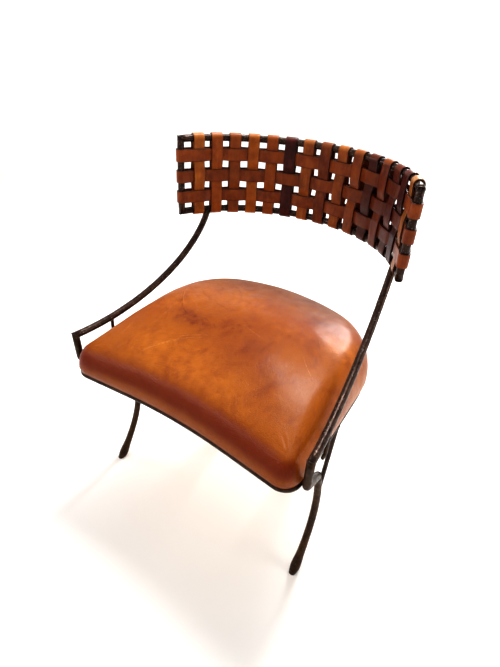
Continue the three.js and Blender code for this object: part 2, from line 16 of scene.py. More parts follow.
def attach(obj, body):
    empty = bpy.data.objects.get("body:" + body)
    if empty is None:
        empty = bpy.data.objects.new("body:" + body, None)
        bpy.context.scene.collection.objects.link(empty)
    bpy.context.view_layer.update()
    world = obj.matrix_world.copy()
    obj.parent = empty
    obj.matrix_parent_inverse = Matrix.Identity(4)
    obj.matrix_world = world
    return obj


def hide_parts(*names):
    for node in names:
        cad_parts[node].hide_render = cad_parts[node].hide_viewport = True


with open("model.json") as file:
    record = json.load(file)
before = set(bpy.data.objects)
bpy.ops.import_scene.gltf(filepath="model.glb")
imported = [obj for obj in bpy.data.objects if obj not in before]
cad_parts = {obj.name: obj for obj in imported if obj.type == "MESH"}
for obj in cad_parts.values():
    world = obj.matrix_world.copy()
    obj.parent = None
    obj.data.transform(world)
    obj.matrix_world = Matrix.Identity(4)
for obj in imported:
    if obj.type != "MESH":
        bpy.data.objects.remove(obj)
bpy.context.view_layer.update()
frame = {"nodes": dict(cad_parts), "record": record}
nodes = frame["nodes"]

# Sizes from the CAD source
ROD_RADIUS = 8.0
THIN_RADIUS = 5.0
STRUT_RADIUS = 4.0
FIT_GAP = 0.3
BACK_RADIUS = 297.0
BACK_AXIS_DEPTH = 231.0
BACK_TOP = 802.0
BACK_BOTTOM = 633.0
STRAP_WIDTH = 26.0
UPRIGHT_SPREAD = 0.75
BAND_SPREAD = 1.4
STRAP_THICKNESS = 3.0
STRAP_PITCH = 45.5
BAND_PITCH = 48.0
END_POST_DISTANCE = 43.5
WEAVE_MARGIN = 1.0
STRAPS = 15
BANDS = 3
ARM_FRONT = (300.0, 0.0, 424.0)
ARM_HANDLES = ((280.5, 160.0, 427.0), (249.0, 341.0, 514.0))
ARM_TOP_RAIL_DISTANCE = 291.4
POST_FOOT = (298.0, 3.0, 360.0)
POST_BEND_RADIUS = 20.0
KNEE = (271.0, 123.0, 258.0)
LEG_HANDLES = ((271.0, 155.0, 176.0), (277.0, 138.0, 96.0))
FOOT = (277.0, 67.0, 0.0)
REAR_LEG_X = 113.0
REAR_LEG_HANDLES = ((113.0, 402.0, 230.0), (113.0, 422.0, 85.0))
REAR_FOOT = (113.0, 476.0, 0.0)
BRACE_FOOT = (271.0, 138.0, 168.0)
BRACE_TOP_DEPTH = 189.0
STRUT_DEPTH = 94.0
STRUT_BEND_HEIGHT = 360.0
STRUT_BEND_RADIUS = 12.0
RING_HEIGHT = 348.0
RING_FRONT_CORNER = (284.5, -26.0)
RING_FRONT_MIDDLE = 3.0
RING_FRONT_RADII = (31.0, 1300.0, 31.0)
RING_REAR_CORNER = (249.5, 424.0)
RING_REAR_MIDDLE = 484.0
RING_REAR_RADII = (174.0, 500.0, 174.0)
RING_JOINTS = (46.0, 265.0)
COVER_TURN = 5.0
COVER_TUCK = 4.0
COVER_HEM = 24.0
COVER_THICKNESS = 2.0
CORNER_RISE = 54.0
SIDE_RISE = 56.0
SIDE_RISE_DEPTH = 315.0
FRONT_CROWN = 6.0
MIDDLE_CROWN = 10.0
DOME_HEIGHT = 16.0
DOME_SIDE = 272.0
DOME_FRONT_SHARE = 0.9
DOME_REAR = 255.0
DOME_FRONT_POWER = 6.0
DOME_REAR_POWER = 1.8
DOME_FLOOR = 0.15
DOME_BLEND = 0.01
CORNER_EASING = 7
RIDGE_EASING = 18
SHOULDER_REACH = 44.0
CORNER_REACH = 22.0
CORNER_BLEND = 90.0
SIDE_SHARE = 0.22
SEAT_BULGE = 1.8
REAR_BULGE = 3.0
SEAT_MIDDLE_DEPTH = 215.0
POST_DENT = 5.0
POST_DENT_REACH = 40.0

MM = 0.001
UP = np.array([0.0, 0.0, 1.0])
SIDEWAYS = np.array([1.0, 0.0, 0.0])
mounts = {m["name"]: m for m in frame["record"]["mounts"]}
DEPTH_SHIFT = mounts["front_foot_right"]["pos_m"][1] / MM - FOOT[1]


def place(points):
    return (np.asarray(points, float) + [0.0, DEPTH_SHIFT, 0.0]) * MM


def unit(vector):
    return vector / np.linalg.norm(vector)


# Meshes


def new_object(name, points, faces, material, smooth=True):
    """An object in the scene, from points in metres."""
    mesh = bpy.data.meshes.new(name)
    mesh.from_pydata([tuple(p) for p in points], [], [tuple(f) for f in faces])
    mesh.validate()
    mesh.polygons.foreach_set("use_smooth", [smooth] * len(mesh.polygons))
    mesh.materials.append(material)
    obj = bpy.data.objects.new(name, mesh)
    bpy.context.scene.collection.objects.link(obj)
    return obj


def add_mesh(name, vertices, faces, material, replaced=(), smooth=True):
    """A piece of the chair, from vertices in the CAD source's millimetres."""
    obj = new_object(name, place(vertices), faces, material, smooth)
    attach(obj, "root")
    if replaced:
        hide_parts(*replaced)
    return obj


def set_point_values(obj, name, values):
    attribute = obj.data.attributes.new(name, "FLOAT", "POINT")
    attribute.data.foreach_set("value", np.asarray(values, np.float32))


def tangents(stations):
    ahead = np.vstack([stations[1:], stations[-1:]])
    behind = np.vstack([stations[:1], stations[:-1]])
    difference = ahead - behind
    return difference / np.linalg.norm(difference, axis=1)[:, None]


def frames_along(stations, first_across):
    """Across and other directions at each station, carried along without twist."""
    across = np.asarray(first_across, float)
    result = []
    for tangent in tangents(stations):
        across = unit(across - tangent * across.dot(tangent))
        result.append((across, np.cross(tangent, across)))
    return result


def strip_faces(rings, count, closed=False):
    faces = []
    for ring in range(rings if closed else rings - 1):
        a, b = ring * count, (ring + 1) % rings * count
        for i in range(count):
            j = (i + 1) % count
            faces.append((a + i, a + j, b + j, b + i))
    return faces


def capped_strip(rings, count):
    """Faces of a strip of rings, with a face over each end."""
    last = (rings - 1) * count
    return strip_faces(rings, count) + [tuple(range(count))[::-1], tuple(range(last, last + count))]


def circle(centre, across, other, radius, count):
    angles = [2 * math.pi * n / count for n in range(count)]
    return [centre + (across * math.cos(a) + other * math.sin(a)) * radius for a in angles]


def bezier(corners, steps):
    a, b, c, d = (np.asarray(p, float) for p in corners)
    t = np.linspace(0, 1, steps + 1)[:, None]
    return a * (1 - t) ** 3 + 3 * b * t * (1 - t) ** 2 + 3 * c * t * t * (1 - t) + d * t**3


def lengths_along(line):
    return np.r_[0, np.cumsum(np.linalg.norm(np.diff(line, axis=0), axis=1))]


def resample(stations, spacing):
    """Even stations along a polyline, ends kept."""
    stations = np.asarray(stations, float)
    lengths = lengths_along(stations)
    at = np.linspace(0, lengths[-1], max(2, int(round(lengths[-1] / spacing)) + 1))
    return np.column_stack([np.interp(at, lengths, stations[:, k]) for k in range(3)])


def bent_path(corners, radii, steps=16):
    corners = [np.asarray(c, float) for c in corners]
    stations = [corners[0]]
    for before, corner, after, radius in zip(corners, corners[1:], corners[2:], radii):
        arriving, leaving = unit(corner - before), unit(after - corner)
        turn = math.acos(np.clip(arriving.dot(leaving), -1, 1))
        inward = unit(leaving - arriving * leaving.dot(arriving))
        start = corner - arriving * radius * math.tan(turn / 2)
        for angle in np.linspace(0, turn, steps + 1):
            stations.append(start + arriving * radius * math.sin(angle) + inward * radius * (1 - math.cos(angle)))
    stations.append(corners[-1])
    return np.array(stations)


SIDES = (("left", -1), ("right", 1))


def on_side(points, side):
    """Points of the right half, left as they are or mirrored to the left."""
    return np.asarray(points, float) * [side, 1.0, 1.0]


# Materials


class Graph:
    """Short calls for building one material's nodes."""

    def __init__(self, name):
        self.material = bpy.data.materials.new(name)
        self.material.use_nodes = True
        self.tree = self.material.node_tree
        self.shader = self.tree.nodes["Principled BSDF"]

    def feed(self, socket, value):
        if isinstance(value, bpy.types.NodeSocket):
            self.tree.links.new(value, socket)
        else:
            socket.default_value = value

    def node(self, kind, inputs, output, **settings):
        """One output of a new node. Each input is a value or another node's output."""
        made = self.tree.nodes.new(kind)
        for key, value in settings.items():
            setattr(made, key, value)
        for key, value in inputs.items():
            self.feed(made.inputs[key], value)
        return made.outputs[output]

    def place_coordinates(self, scale=(1, 1, 1)):
        where = self.node("ShaderNodeTexCoord", {}, "Object")
        return self.node("ShaderNodeMapping", {"Vector": where, "Scale": scale}, "Vector")

    def noise(self, scale, detail=2.0, roughness=0.5, vector=None, seed=0.0, distortion=0.0):
        inputs = {
            "Vector": vector or self.place_coordinates(), "Scale": scale, "Detail": detail,
            "Roughness": roughness, "Distortion": distortion, "W": seed,
        }
        return self.node("ShaderNodeTexNoise", inputs, "Fac", noise_dimensions="4D")

    def cells(self, scale, feature="F1", vector=None):
        inputs = {"Vector": vector or self.place_coordinates(), "Scale": scale}
        return self.node("ShaderNodeTexVoronoi", inputs, "Distance", feature=feature)

    def attribute(self, name):
        return self.node("ShaderNodeAttribute", {}, "Fac", attribute_name=name)

    def ramp(self, value, low, high, out_low=0.0, out_high=1.0):
        inputs = {"Value": value, "From Min": low, "From Max": high, "To Min": out_low, "To Max": out_high}
        return self.node("ShaderNodeMapRange", inputs, "Result", interpolation_type="SMOOTHSTEP")

    def math(self, operation, a, b=0.0):
        return self.node("ShaderNodeMath", {0: a, 1: b}, 0, operation=operation)

    def vector_math(self, operation, *values, output="Vector"):
        return self.node("ShaderNodeVectorMath", dict(enumerate(values)), output, operation=operation)

    def mix(self, share, a, b):
        return self.node("ShaderNodeMix", {"Factor": share, "A": a, "B": b}, "Result", data_type="RGBA")

    def stained(self, tint, *layers):
        """The tint under some layers, each a mask, its strength and its colour."""
        for mask, strength, code in layers:
            tint = self.mix(self.math("MULTIPLY", mask, strength), tint, colour(code))
        return tint

    def bump(self, height, distance, strength=1.0, below=None):
        inputs = {"Strength": strength, "Distance": distance, "Height": height}
        if below is not None:
            inputs["Normal"] = below
        return self.node("ShaderNodeBump", inputs, "Normal")

    def set(self, **values):
        for name, value in values.items():
            self.feed(self.shader.inputs[name.replace("_", " ")], value)
        return self.material


def colour(code):
    """Linear colour from a six-digit code of the screen colour."""
    channels = [int(code[i : i + 2], 16) / 255 for i in (0, 2, 4)]
    return (*((c / 12.92 if c <= 0.04045 else ((c + 0.055) / 1.055) ** 2.4) for c in channels), 1.0)


def iron_material(name, dark, warm, worn, shine):
    """Hammered, oiled iron: a mottled brown skin, with bare metal on the high spots."""
    g = Graph(name)
    mottling = g.ramp(g.noise(45, 4, 0.6), 0.35, 0.68)
    spots = g.ramp(g.noise(260, 3, 0.65, seed=4.0), 0.56, 0.72)
    hammering = g.cells(95, "SMOOTH_F1")
    tint = g.stained(g.mix(mottling, colour(dark), colour(warm)), (spots, 0.48, worn))
    roughness = g.ramp(g.noise(120, 3, seed=9.0), 0.3, 0.7, shine, shine + 0.2)
    bump = g.bump(g.noise(900, 3), 0.00012, 0.5)
    bump = g.bump(hammering, 0.0008, 0.7, bump)
    return g.set(
        Base_Color=tint, Metallic=0.55, Roughness=roughness, Normal=bump, Specular_IOR_Level=0.5
    )


# Painted shade on the bands: metres to the right where it begins to darken and is darkest, and where it ends
RIGHT_SHADE_IN = (0.03, 0.2)
RIGHT_SHADE_OUT = (0.24, 0.262)


def strap_material(name, dyes, seed, shine=0.36, right_shade=0.0):
    """One strap's leather: streaky dye, dark edges, fine grain, a painted highlight where it bends over the top rail
    and, on the bands, painted shade toward their right end.
    """
    g = Graph(name)
    base, dark, top = dyes
    clouds = g.ramp(g.noise(38, 4, 0.6, seed=seed), 0.34, 0.72)
    streaks = g.ramp(g.noise(24, 3, 0.7, g.place_coordinates((4, 4, 1)), seed + 3.0), 0.45, 0.75)
    # The last layer here is a painted highlight: each strap is lightened where it bends over the top rail
    layers = [(clouds, 0.8, dark), (streaks, 0.35, top), (g.attribute("rail_bend_highlight"), 0.3, top)]
    if right_shade:
        x = g.node("ShaderNodeSeparateXYZ", {0: g.place_coordinates()}, "X")
        shade = g.math("MULTIPLY", g.ramp(x, *RIGHT_SHADE_IN), g.ramp(x, *RIGHT_SHADE_OUT, 1.0, 0.0))
        # Painted shade: the bands darkened toward their right end, ending before their turn round the end post
        layers.append((shade, right_shade, "4A1404"))
    layers.append((g.ramp(g.math("ABSOLUTE", g.attribute("across")), 0.86, 0.99), 0.82, "2A0D06"))
    grain = g.bump(g.cells(850, "SMOOTH_F1"), 0.00016, 0.55)
    grain = g.bump(g.noise(60, 4, 0.55, seed=seed + 7.0), 0.0011, 0.5, grain)
    crease = g.ramp(g.noise(110, 2, 0.5, g.place_coordinates((1, 1, 5)), seed + 5.0), 0.62, 0.72)
    grain = g.bump(g.math("MULTIPLY", crease, -1.0), 0.0002, 0.5, grain)
    roughness = g.ramp(g.noise(70, 3, seed=seed + 1.0), 0.3, 0.7, shine, shine + 0.16)
    return g.set(
        Base_Color=g.stained(colour(base), *layers), Roughness=roughness, Normal=grain,
        Specular_IOR_Level=0.30, Coat_Weight=0.08, Coat_Roughness=0.3
    )


def arc_mark(g, where, centre, radius, half_width, middle, reach):
    """A fine line on a circle in plan, fading out from its middle."""
    flat = g.vector_math("MULTIPLY", where, (1, 1, 0))

    def distance(spot):
        x, y, _ = place((*spot, 0.0))
        return g.vector_math("DISTANCE", flat, (x, y, 0.0), output="Value")

    off = g.math("ABSOLUTE", g.math("SUBTRACT", distance(centre), radius * MM))
    line = g.ramp(off, 0.0, half_width * MM, 1.0, 0.0)
    faded = g.ramp(distance(middle), 0.5 * reach * MM, reach * MM, 1.0, 0.0)
    return g.math("MULTIPLY", line, faded)


def strongest(g, where, marks):
    best = arc_mark(g, where, *marks[0])
    for mark in marks[1:]:
        best = g.math("MAXIMUM", best, arc_mark(g, where, *mark))
    return best


# Light scratches in plan: centre, radius, half width, middle of the arc, reach
SCRATCHES = (
    ((74.0, -90.0), 249.0, 0.8, (-90.0, 97.0), 74.0),
    ((60.0, -84.0), 232.0, 0.5, (-108.0, 76.0), 60.0),
    ((90.0, -120.0), 290.0, 0.5, (-60.0, 128.0), 52.0),
    ((-420.0, 60.0), 205.0, 0.7, (-218.0, 78.0), 26.0),
    ((-420.0, 120.0), 250.0, 0.5, (-172.0, 150.0), 40.0),
    ((-60.0, 330.0), 160.0, 0.5, (-190.0, 235.0), 48.0),
    ((120.0, 520.0), 330.0, 0.5, (40.0, 200.0), 42.0),
    ((330.0, 330.0), 210.0, 0.5, (190.0, 175.0), 40.0),
)

# Dark lines of painted shade along fine creases, in plan: two ends, how far the line bows out between them, half
# width
SHADED_CREASES = (
    ((-166.0, 382.0), (-62.0, 300.0), 9.0, 3.2),
    ((-200.0, 250.0), (-112.0, 168.0), -10.0, 3.0),
    ((-118.0, 176.0), (-30.0, 166.0), 8.0, 3.4),
    ((-182.0, 290.0), (-50.0, 238.0), -9.0, 2.2),
    ((-205.0, 190.0), (-150.0, 120.0), 7.0, 1.6),
    ((118.0, 300.0), (188.0, 228.0), 8.0, 2.0),
    ((20.0, 390.0), (90.0, 352.0), -6.0, 2.2),
    ((-130.0, 330.0), (-86.0, 300.0), 5.0, 2.0),
)
# A crease fades out past its ends by this factor, and strays from its arc by up to half of this, in metres
CREASE_FADE = 1.15
CREASE_WANDER = 0.012


def arc_between(start, end, bow, half_width):
    """A crease as arc_mark takes it: centre, radius, half width, middle of the arc, reach."""
    start, end = np.array(start), np.array(end)
    length = np.linalg.norm(end - start)
    away = np.array([start[1] - end[1], end[0] - start[0]]) / length
    middle = (start + end) / 2 + away * bow
    radius = (length * length / 4 + bow * bow) / (2 * abs(bow))
    centre = middle - away * math.copysign(radius, bow)
    return centre, radius, half_width, middle, length / 2 * CREASE_FADE


def seat_material():
    """Glazed saddle leather with dark clouds, painted shade on the front roll and lower front face, painted shade
    along fine creases, scratches and pits.
    """
    g = Graph("saddle_leather")
    where = g.place_coordinates()
    broad = g.ramp(g.noise(5.5, 3, 0.55, seed=2.4, distortion=0.4), 0.40, 0.66)
    clouds = g.ramp(g.noise(15, 6, 0.66, seed=6.1, distortion=0.9), 0.47, 0.72)
    streaks = g.ramp(g.noise(30, 5, 0.62, g.place_coordinates((1.0, 0.35, 1.0)), 3.7, 0.5), 0.48, 0.75)
    freckles = g.ramp(g.noise(190, 4, 0.72, seed=1.0), 0.50, 0.74)
    veins = g.ramp(g.cells(26, "DISTANCE_TO_EDGE", g.place_coordinates((1, 1.6, 1))), 0.0, 0.03, 1.0, 0.0)
    veins = g.math("MULTIPLY", veins, g.ramp(g.noise(9, 2, seed=8.0), 0.5, 0.62))
    wander = g.node("ShaderNodeTexNoise", {"Vector": where, "Scale": 38.0, "Detail": 3.0}, "Color",
                    noise_dimensions="3D")
    strayed = g.vector_math("MULTIPLY_ADD", wander, (CREASE_WANDER, CREASE_WANDER, 0.0), where)
    strayed = g.vector_math("ADD", strayed, (-CREASE_WANDER / 2, -CREASE_WANDER / 2, 0.0))
    crease_shade = strongest(g, strayed, [arc_between(*crease) for crease in SHADED_CREASES])
    crease_shade = g.math("MULTIPLY", crease_shade, g.ramp(g.noise(55, 3, seed=17.0), 0.34, 0.62))
    broken = g.ramp(g.noise(320, 2, seed=11.0), 0.38, 0.6)
    scratched = g.math("MULTIPLY", strongest(g, where, SCRATCHES), broken)
    flecks = g.ramp(g.noise(420, 3, 0.8, seed=14.0), 0.70, 0.78)
    tint = g.stained(
        g.mix(broad, colour("A65A0C"), colour("964808")),
        (g.attribute("gold"), 0.7, "C4721E"),
        (clouds, 0.62, "7E360E"),
        (streaks, 0.3, "7C3610"),
        (freckles, 0.34, "702C0C"),
        (g.attribute("patch"), 0.85, "722809"),
        # Painted shade: the dark band across the front roll, which faces away from the light
        (g.attribute("roll_shade"), 0.86, "7A2605"),
        # Painted shade on the lower front face, warmed with painted floor bounce
        (g.attribute("underside"), 0.6, "843A04"),
        (g.attribute("dull"), 0.62, "5E3008"),
        (veins, 0.2, "6E2A0C"),
        # Painted shade along fine creases
        (crease_shade, 0.5, "5E2208"),
        (scratched, 0.75, "F0A860"),
        (flecks, 0.35, "E29A50"),
    )
    grain = g.bump(g.cells(620, "SMOOTH_F1"), 0.00014, 0.5)
    crackle = g.cells(230, "DISTANCE_TO_EDGE", g.place_coordinates((1, 1.3, 1)))
    grain = g.bump(g.ramp(crackle, 0.0, 0.12), 0.0005, 0.5, grain)
    grain = g.bump(g.noise(150, 5, 0.65, where, 3.3), 0.0011, 0.55, grain)
    grain = g.bump(g.noise(34, 3, 0.5, seed=5.5), 0.0012, 0.3, grain)
    roughness = g.ramp(g.noise(42, 4, seed=7.2), 0.3, 0.7, 0.34, 0.48)
    roughness = g.math("ADD", roughness, g.math("MULTIPLY", g.attribute("dull"), 0.08))
    return g.set(
        Base_Color=tint, Roughness=roughness, Normal=grain, Specular_IOR_Level=0.2, Coat_Weight=0.14,
        Coat_Roughness=0.22
    )


def plywood_material():
    g = Graph("raw_plywood")
    rings = g.noise(14, 5, 0.6, g.place_coordinates((1, 9, 1)), 2.0, 0.6)
    tint = g.mix(g.ramp(rings, 0.35, 0.7), colour("D9B988"), colour("A67C4C"))
    return g.set(Base_Color=tint, Roughness=0.75, Normal=g.bump(rings, 0.0004, 0.5))


def foam_material():
    g = Graph("cushion_foam")
    cells = g.cells(900)
    tint = g.mix(cells, colour("E9DDB0"), colour("C9B888"))
    return g.set(Base_Color=tint, Roughness=0.95, Normal=g.bump(cells, 0.0004, 0.8))


def zinc_material():
    g = Graph("zinc_plate")
    haze = g.noise(300, 3)
    tint = g.mix(g.ramp(haze, 0.3, 0.7), colour("9FA09C"), colour("C9C8BE"))
    return g.set(Base_Color=tint, Metallic=1.0, Roughness=0.36, Normal=g.bump(haze, 0.0001, 0.4))


iron = iron_material("oiled_iron", "301E16", "4A3428", "B4AEAA", 0.25)
post_iron = iron_material("oiled_iron_posts", "2E1C11", "4C351E", "785E40", 0.40)
ring_iron = iron_material("oiled_iron_ring", "30231E", "4C3B32", "8A8078", 0.34)

# Rods

THIN_ROD = {"material": ring_iron, "hammer": 0.12, "sides": 18}
LEG_ROD = {"material": post_iron, "first_across": SIDEWAYS}
# How wide the hammer's marks are, the broad ones and the finer ones among them
BROAD_MARK = 10.0
FINE_MARK = 4.5
# A mitre's outer tip is filed off past this many rod radii, by this share
TIP_REACH = 1.06
TIP_FILING = 0.85


def plane_slide(ring, along, plane):
    point, normal = (np.asarray(p, float) for p in plane)
    return [v + along * ((point - v).dot(normal) / along.dot(normal)) for v in ring]


def without_near_ends(stations, reach):
    """Drops inner stations so near an end that a mitred ring would run past them."""
    kept = [stations[0]]
    for station in stations[1:-1]:
        if min(np.linalg.norm(station - stations[0]), np.linalg.norm(station - stations[-1])) > reach:
            kept.append(station)
    return np.array([*kept, stations[-1]])


def filed(spot, corner, diagonal):
    """A point of a mitred corner, drawn in as if the outer tip had been filed round."""
    beyond = (spot - corner).dot(diagonal) - TIP_REACH * ROD_RADIUS
    return spot - diagonal * TIP_FILING * beyond if beyond > 0 else spot


def tube(node, stations, radius, material=iron, first_across=UP, planes=(None, None), sides=22, hammer=0.2,
         seed=0.0, tips=()):
    """A forged rod: round, with shallow hammer marks. radius is a number or a function of the height."""
    stations = without_near_ends(np.asarray(stations, float), ROD_RADIUS * 1.5 if any(planes) else 0.0)
    directions = tangents(stations)
    last = len(stations) - 1
    vertices = []
    for n, (station, (across, other)) in enumerate(zip(stations, frames_along(stations, first_across))):
        r = radius(station[2]) if callable(radius) else radius
        ring = []
        for out in circle(0.0, across, other, 1.0, sides):
            spot = station + out * r
            dent = noise.noise(Vector(spot / BROAD_MARK + seed)) + 0.5 * noise.noise(Vector(spot / FINE_MARK + seed))
            ring.append(spot + out * dent * hammer)
        for end, inner, plane in ((0, 1, planes[0]), (last, last - 1, planes[1])):
            if n == end and plane is not None:
                ring = plane_slide(ring, directions[inner], plane)
        for corner, diagonal in tips:
            ring = [filed(spot, corner, diagonal) for spot in ring]
        vertices.extend((x, y, max(z, 0.0)) for x, y, z in ring)
    return add_mesh(f"{node}_rod", vertices, capped_strip(last + 1, sides), material, [node])


def back_direction(angle):
    return np.array([math.sin(angle), math.cos(angle), 0.0])


def back_across(angle):
    return np.array([math.cos(angle), -math.sin(angle), 0.0])


def back_point(angle, offset, height):
    return back_direction(angle) * (BACK_RADIUS + offset) + [0.0, BACK_AXIS_DEPTH, height]


strap_angle = STRAP_PITCH / BACK_RADIUS
end_angle = strap_angle * (STRAPS - 1) / 2 + END_POST_DISTANCE / BACK_RADIUS


def strap_angle_at(strap):
    return strap_angle * (strap - (STRAPS - 1) / 2)


def rail_stations(height):
    angles = np.linspace(-end_angle, end_angle, 121)
    return np.array([back_point(angle, 0.0, height) for angle in angles])


welds = {"vertices": [], "faces": []}
WELD_POINTS = 30
WELD_REACH = 26.0
WELD_STEP = 0.5
BEAD_SIDES = 8
BEAD_LUMPS = 0.28


def weld_bead(curve, radius, seed):
    """A closed bead of weld metal along a loop of points, lumpy as a hand-laid bead is."""
    curve = np.asarray(curve, float)
    count = len(curve)
    centre = curve.mean(axis=0)
    first = len(welds["vertices"])
    for n, spot in enumerate(curve):
        along = unit(curve[(n + 1) % count] - curve[n - 1])
        out = spot - centre
        out = unit(out - along * out.dot(along))
        lump = radius * (1 + BEAD_LUMPS * noise.noise(Vector(spot / 2.6 + seed)))
        welds["vertices"] += circle(spot, out, np.cross(along, out), lump, BEAD_SIDES)
    welds["faces"] += [
        tuple(first + corner for corner in face) for face in strip_faces(count, BEAD_SIDES, closed=True)
    ]


def distance_to_line(spot, line):
    start, step = line[:-1], np.diff(line, axis=0)
    share = np.clip(((spot - start) * step).sum(axis=1) / (step * step).sum(axis=1), 0, 1)
    return np.linalg.norm(start + step * share[:, None] - spot, axis=1).min()


def weld_round(end, outward, own_radius, line, line_radius, radius, seed):
    """A bead where a rod meets another rod's skin. outward points away from the other rod."""
    outward = unit(np.asarray(outward, float))
    across = unit(np.cross(outward, UP if abs(outward[2]) < 0.8 else SIDEWAYS))
    curve = []
    for rim in circle(end, across, np.cross(outward, across), own_radius, WELD_POINTS):
        travels = np.arange(WELD_REACH, -WELD_REACH / 3, -WELD_STEP)
        spots = (rim + outward * travel for travel in travels)
        curve.append(next((spot for spot in spots if distance_to_line(spot, line) <= line_radius), rim))
    weld_bead(curve, radius, seed)


def weld_mitre(corner, along, normal, own_radius, radius, seed, diagonal=None):
    """A bead round the cut between two rods. A straight butt joint has its cut square to the rod."""
    along = unit(along)
    across = np.cross(along, normal)
    across = unit(across if np.linalg.norm(across) > 1e-6 else np.cross(along, UP))
    ring = circle(corner, across, np.cross(along, across), own_radius, WELD_POINTS)
    ring = plane_slide(ring, along, (corner, normal))
    if diagonal is not None:
        ring = [filed(spot, corner, diagonal) for spot in ring]
    weld_bead(ring, radius, seed)


def back_frame():
    for name, height, away in (("back_top_rail", BACK_TOP, UP), ("back_bottom_rail", BACK_BOTTOM, -UP)):
        stations = rail_stations(height)
        planes, tips = [], []
        for end, inner in ((0, 1), (-1, -2)):
            outward = unit(stations[end] - stations[inner])
            planes.append((stations[end], unit(outward - away)))
            tips.append((stations[end], unit(outward + away)))
        tube(name, stations, ROD_RADIUS, planes=planes, seed=height, tips=tips)
        for (corner, normal), (_, diagonal), inner in zip(planes, tips, (1, -2)):
            weld_mitre(corner, corner - stations[inner], normal, ROD_RADIUS - 0.3, 0.9, corner[0], diagonal)
    foot, head = (back_point(end_angle, 0.0, height) for height in (BACK_BOTTOM, BACK_TOP))
    outward = unit(foot - back_point(end_angle - 0.02, 0.0, BACK_BOTTOM))
    ends = ((foot, -UP), (head, UP))
    for name, side in SIDES:
        planes = [(on_side(end, side), on_side(unit(outward - away), side)) for end, away in ends]
        tips = [(on_side(end, side), on_side(unit(outward + away), side)) for end, away in ends]
        tube(f"back_end_post_{name}", on_side(resample([foot, head], 6.0), side), ROD_RADIUS,
             first_across=back_direction(side * end_angle), planes=planes, seed=side * 3.0, tips=tips)


arm_head = back_point(ARM_TOP_RAIL_DISTANCE / BACK_RADIUS, 0.0, BACK_BOTTOM)
arm_curve = resample(bezier([ARM_FRONT, *ARM_HANDLES, arm_head], 200), 5.0)
leg_curve = resample(bezier([KNEE, *LEG_HANDLES, FOOT], 160), 4.0)
arm_front, post_foot, knee = (np.array(p) for p in (ARM_FRONT, POST_FOOT, KNEE))
post_curve = resample(bent_path([arm_front, post_foot, knee], [POST_BEND_RADIUS]), 3.5)
arm_joint_normal = unit(unit(arm_curve[1] - arm_curve[0]) - unit(post_foot - arm_front))
knee_normal = unit(unit(knee - post_foot) + unit(leg_curve[1] - leg_curve[0]))


# The pad foot's swellings: size, height and reach along the leg. Its sole is rounded in below SOLE_HEIGHT
FOOT_SWELLS = ((2.5, 11.0, 17.0), (0.9, 30.0, 30.0))
SOLE_ROUNDING = 2.0
SOLE_HEIGHT = 8.0
FLOOR_ZONE = 9.0
PAST_FLOOR = 7.5


def foot_radius(height):
    """The leg's radius at a height: a swollen pad foot, rounded in to a flat at the floor."""
    swell = sum(size * math.exp(-(((height - middle) / reach) ** 2)) for size, middle, reach in FOOT_SWELLS)
    return ROD_RADIUS + swell - SOLE_ROUNDING * min(1.0, max(0.0, 1.0 - height / SOLE_HEIGHT)) ** 2


def to_floor(stations):
    """Finer stations near the floor and a little past it, where the rod is cut flat."""
    near = [s for s in stations if s[2] > FLOOR_ZONE]
    foot = stations[-1] + unit(stations[-1] - stations[-2]) * PAST_FLOOR
    return np.vstack([near, [near[-1] + (foot - near[-1]) * t for t in np.linspace(0.1, 1.0, 12)]])


def sides_of_frame():
    bottom_rail = rail_stations(BACK_BOTTOM)
    for name, side in SIDES:
        arm_line, leg_line, post_line = (on_side(c, side) for c in (arm_curve, leg_curve, post_curve))
        arm_plane = (on_side(arm_front, side), on_side(arm_joint_normal, side))
        knee_plane = (on_side(knee, side), on_side(knee_normal, side))
        tube(f"arm_{name}", arm_line, ROD_RADIUS, planes=(arm_plane, None), hammer=0.32, seed=10.0 + side)
        tube(f"front_post_{name}", post_line, ROD_RADIUS, planes=(arm_plane, knee_plane), seed=20.0 + side,
             **LEG_ROD)
        tube(f"front_leg_{name}", to_floor(leg_line), foot_radius, planes=(knee_plane, None),
             seed=30.0 + side, **LEG_ROD)
        weld_mitre(arm_plane[0], arm_line[1] - arm_line[0], arm_plane[1], ROD_RADIUS - 0.3, 1.0, 1.0 + side)
        weld_mitre(knee_plane[0], leg_line[1] - leg_line[0], knee_plane[1], ROD_RADIUS - 0.2, 1.5, 5.0 + side)
        weld_round(arm_line[-1], arm_line[-3] - arm_line[-1], ROD_RADIUS, bottom_rail, ROD_RADIUS, 1.9, 7.0 + side)


# Seat ring, braces and struts


def ring_side_point(depth, side=1):
    (x0, y0), (x1, y1) = RING_FRONT_CORNER, RING_REAR_CORNER
    x = x0 + (x1 - x0) * (depth - y0) / (y1 - y0)
    return np.array([side * x, depth, RING_HEIGHT])


def ring_path(joint, corner_depth, middle_depth, radii):
    """One bent rod of the ring, from its left joint round to its right one."""
    corners = [
        ring_side_point(joint, -1), ring_side_point(corner_depth, -1), [0.0, middle_depth, RING_HEIGHT],
        ring_side_point(corner_depth), ring_side_point(joint),
    ]
    return bent_path(corners, radii)


ring_front = ring_path(RING_JOINTS[0], RING_FRONT_CORNER[1], RING_FRONT_MIDDLE, RING_FRONT_RADII)
ring_rear = ring_path(RING_JOINTS[1], RING_REAR_CORNER[1], RING_REAR_MIDDLE, RING_REAR_RADII)[::-1]


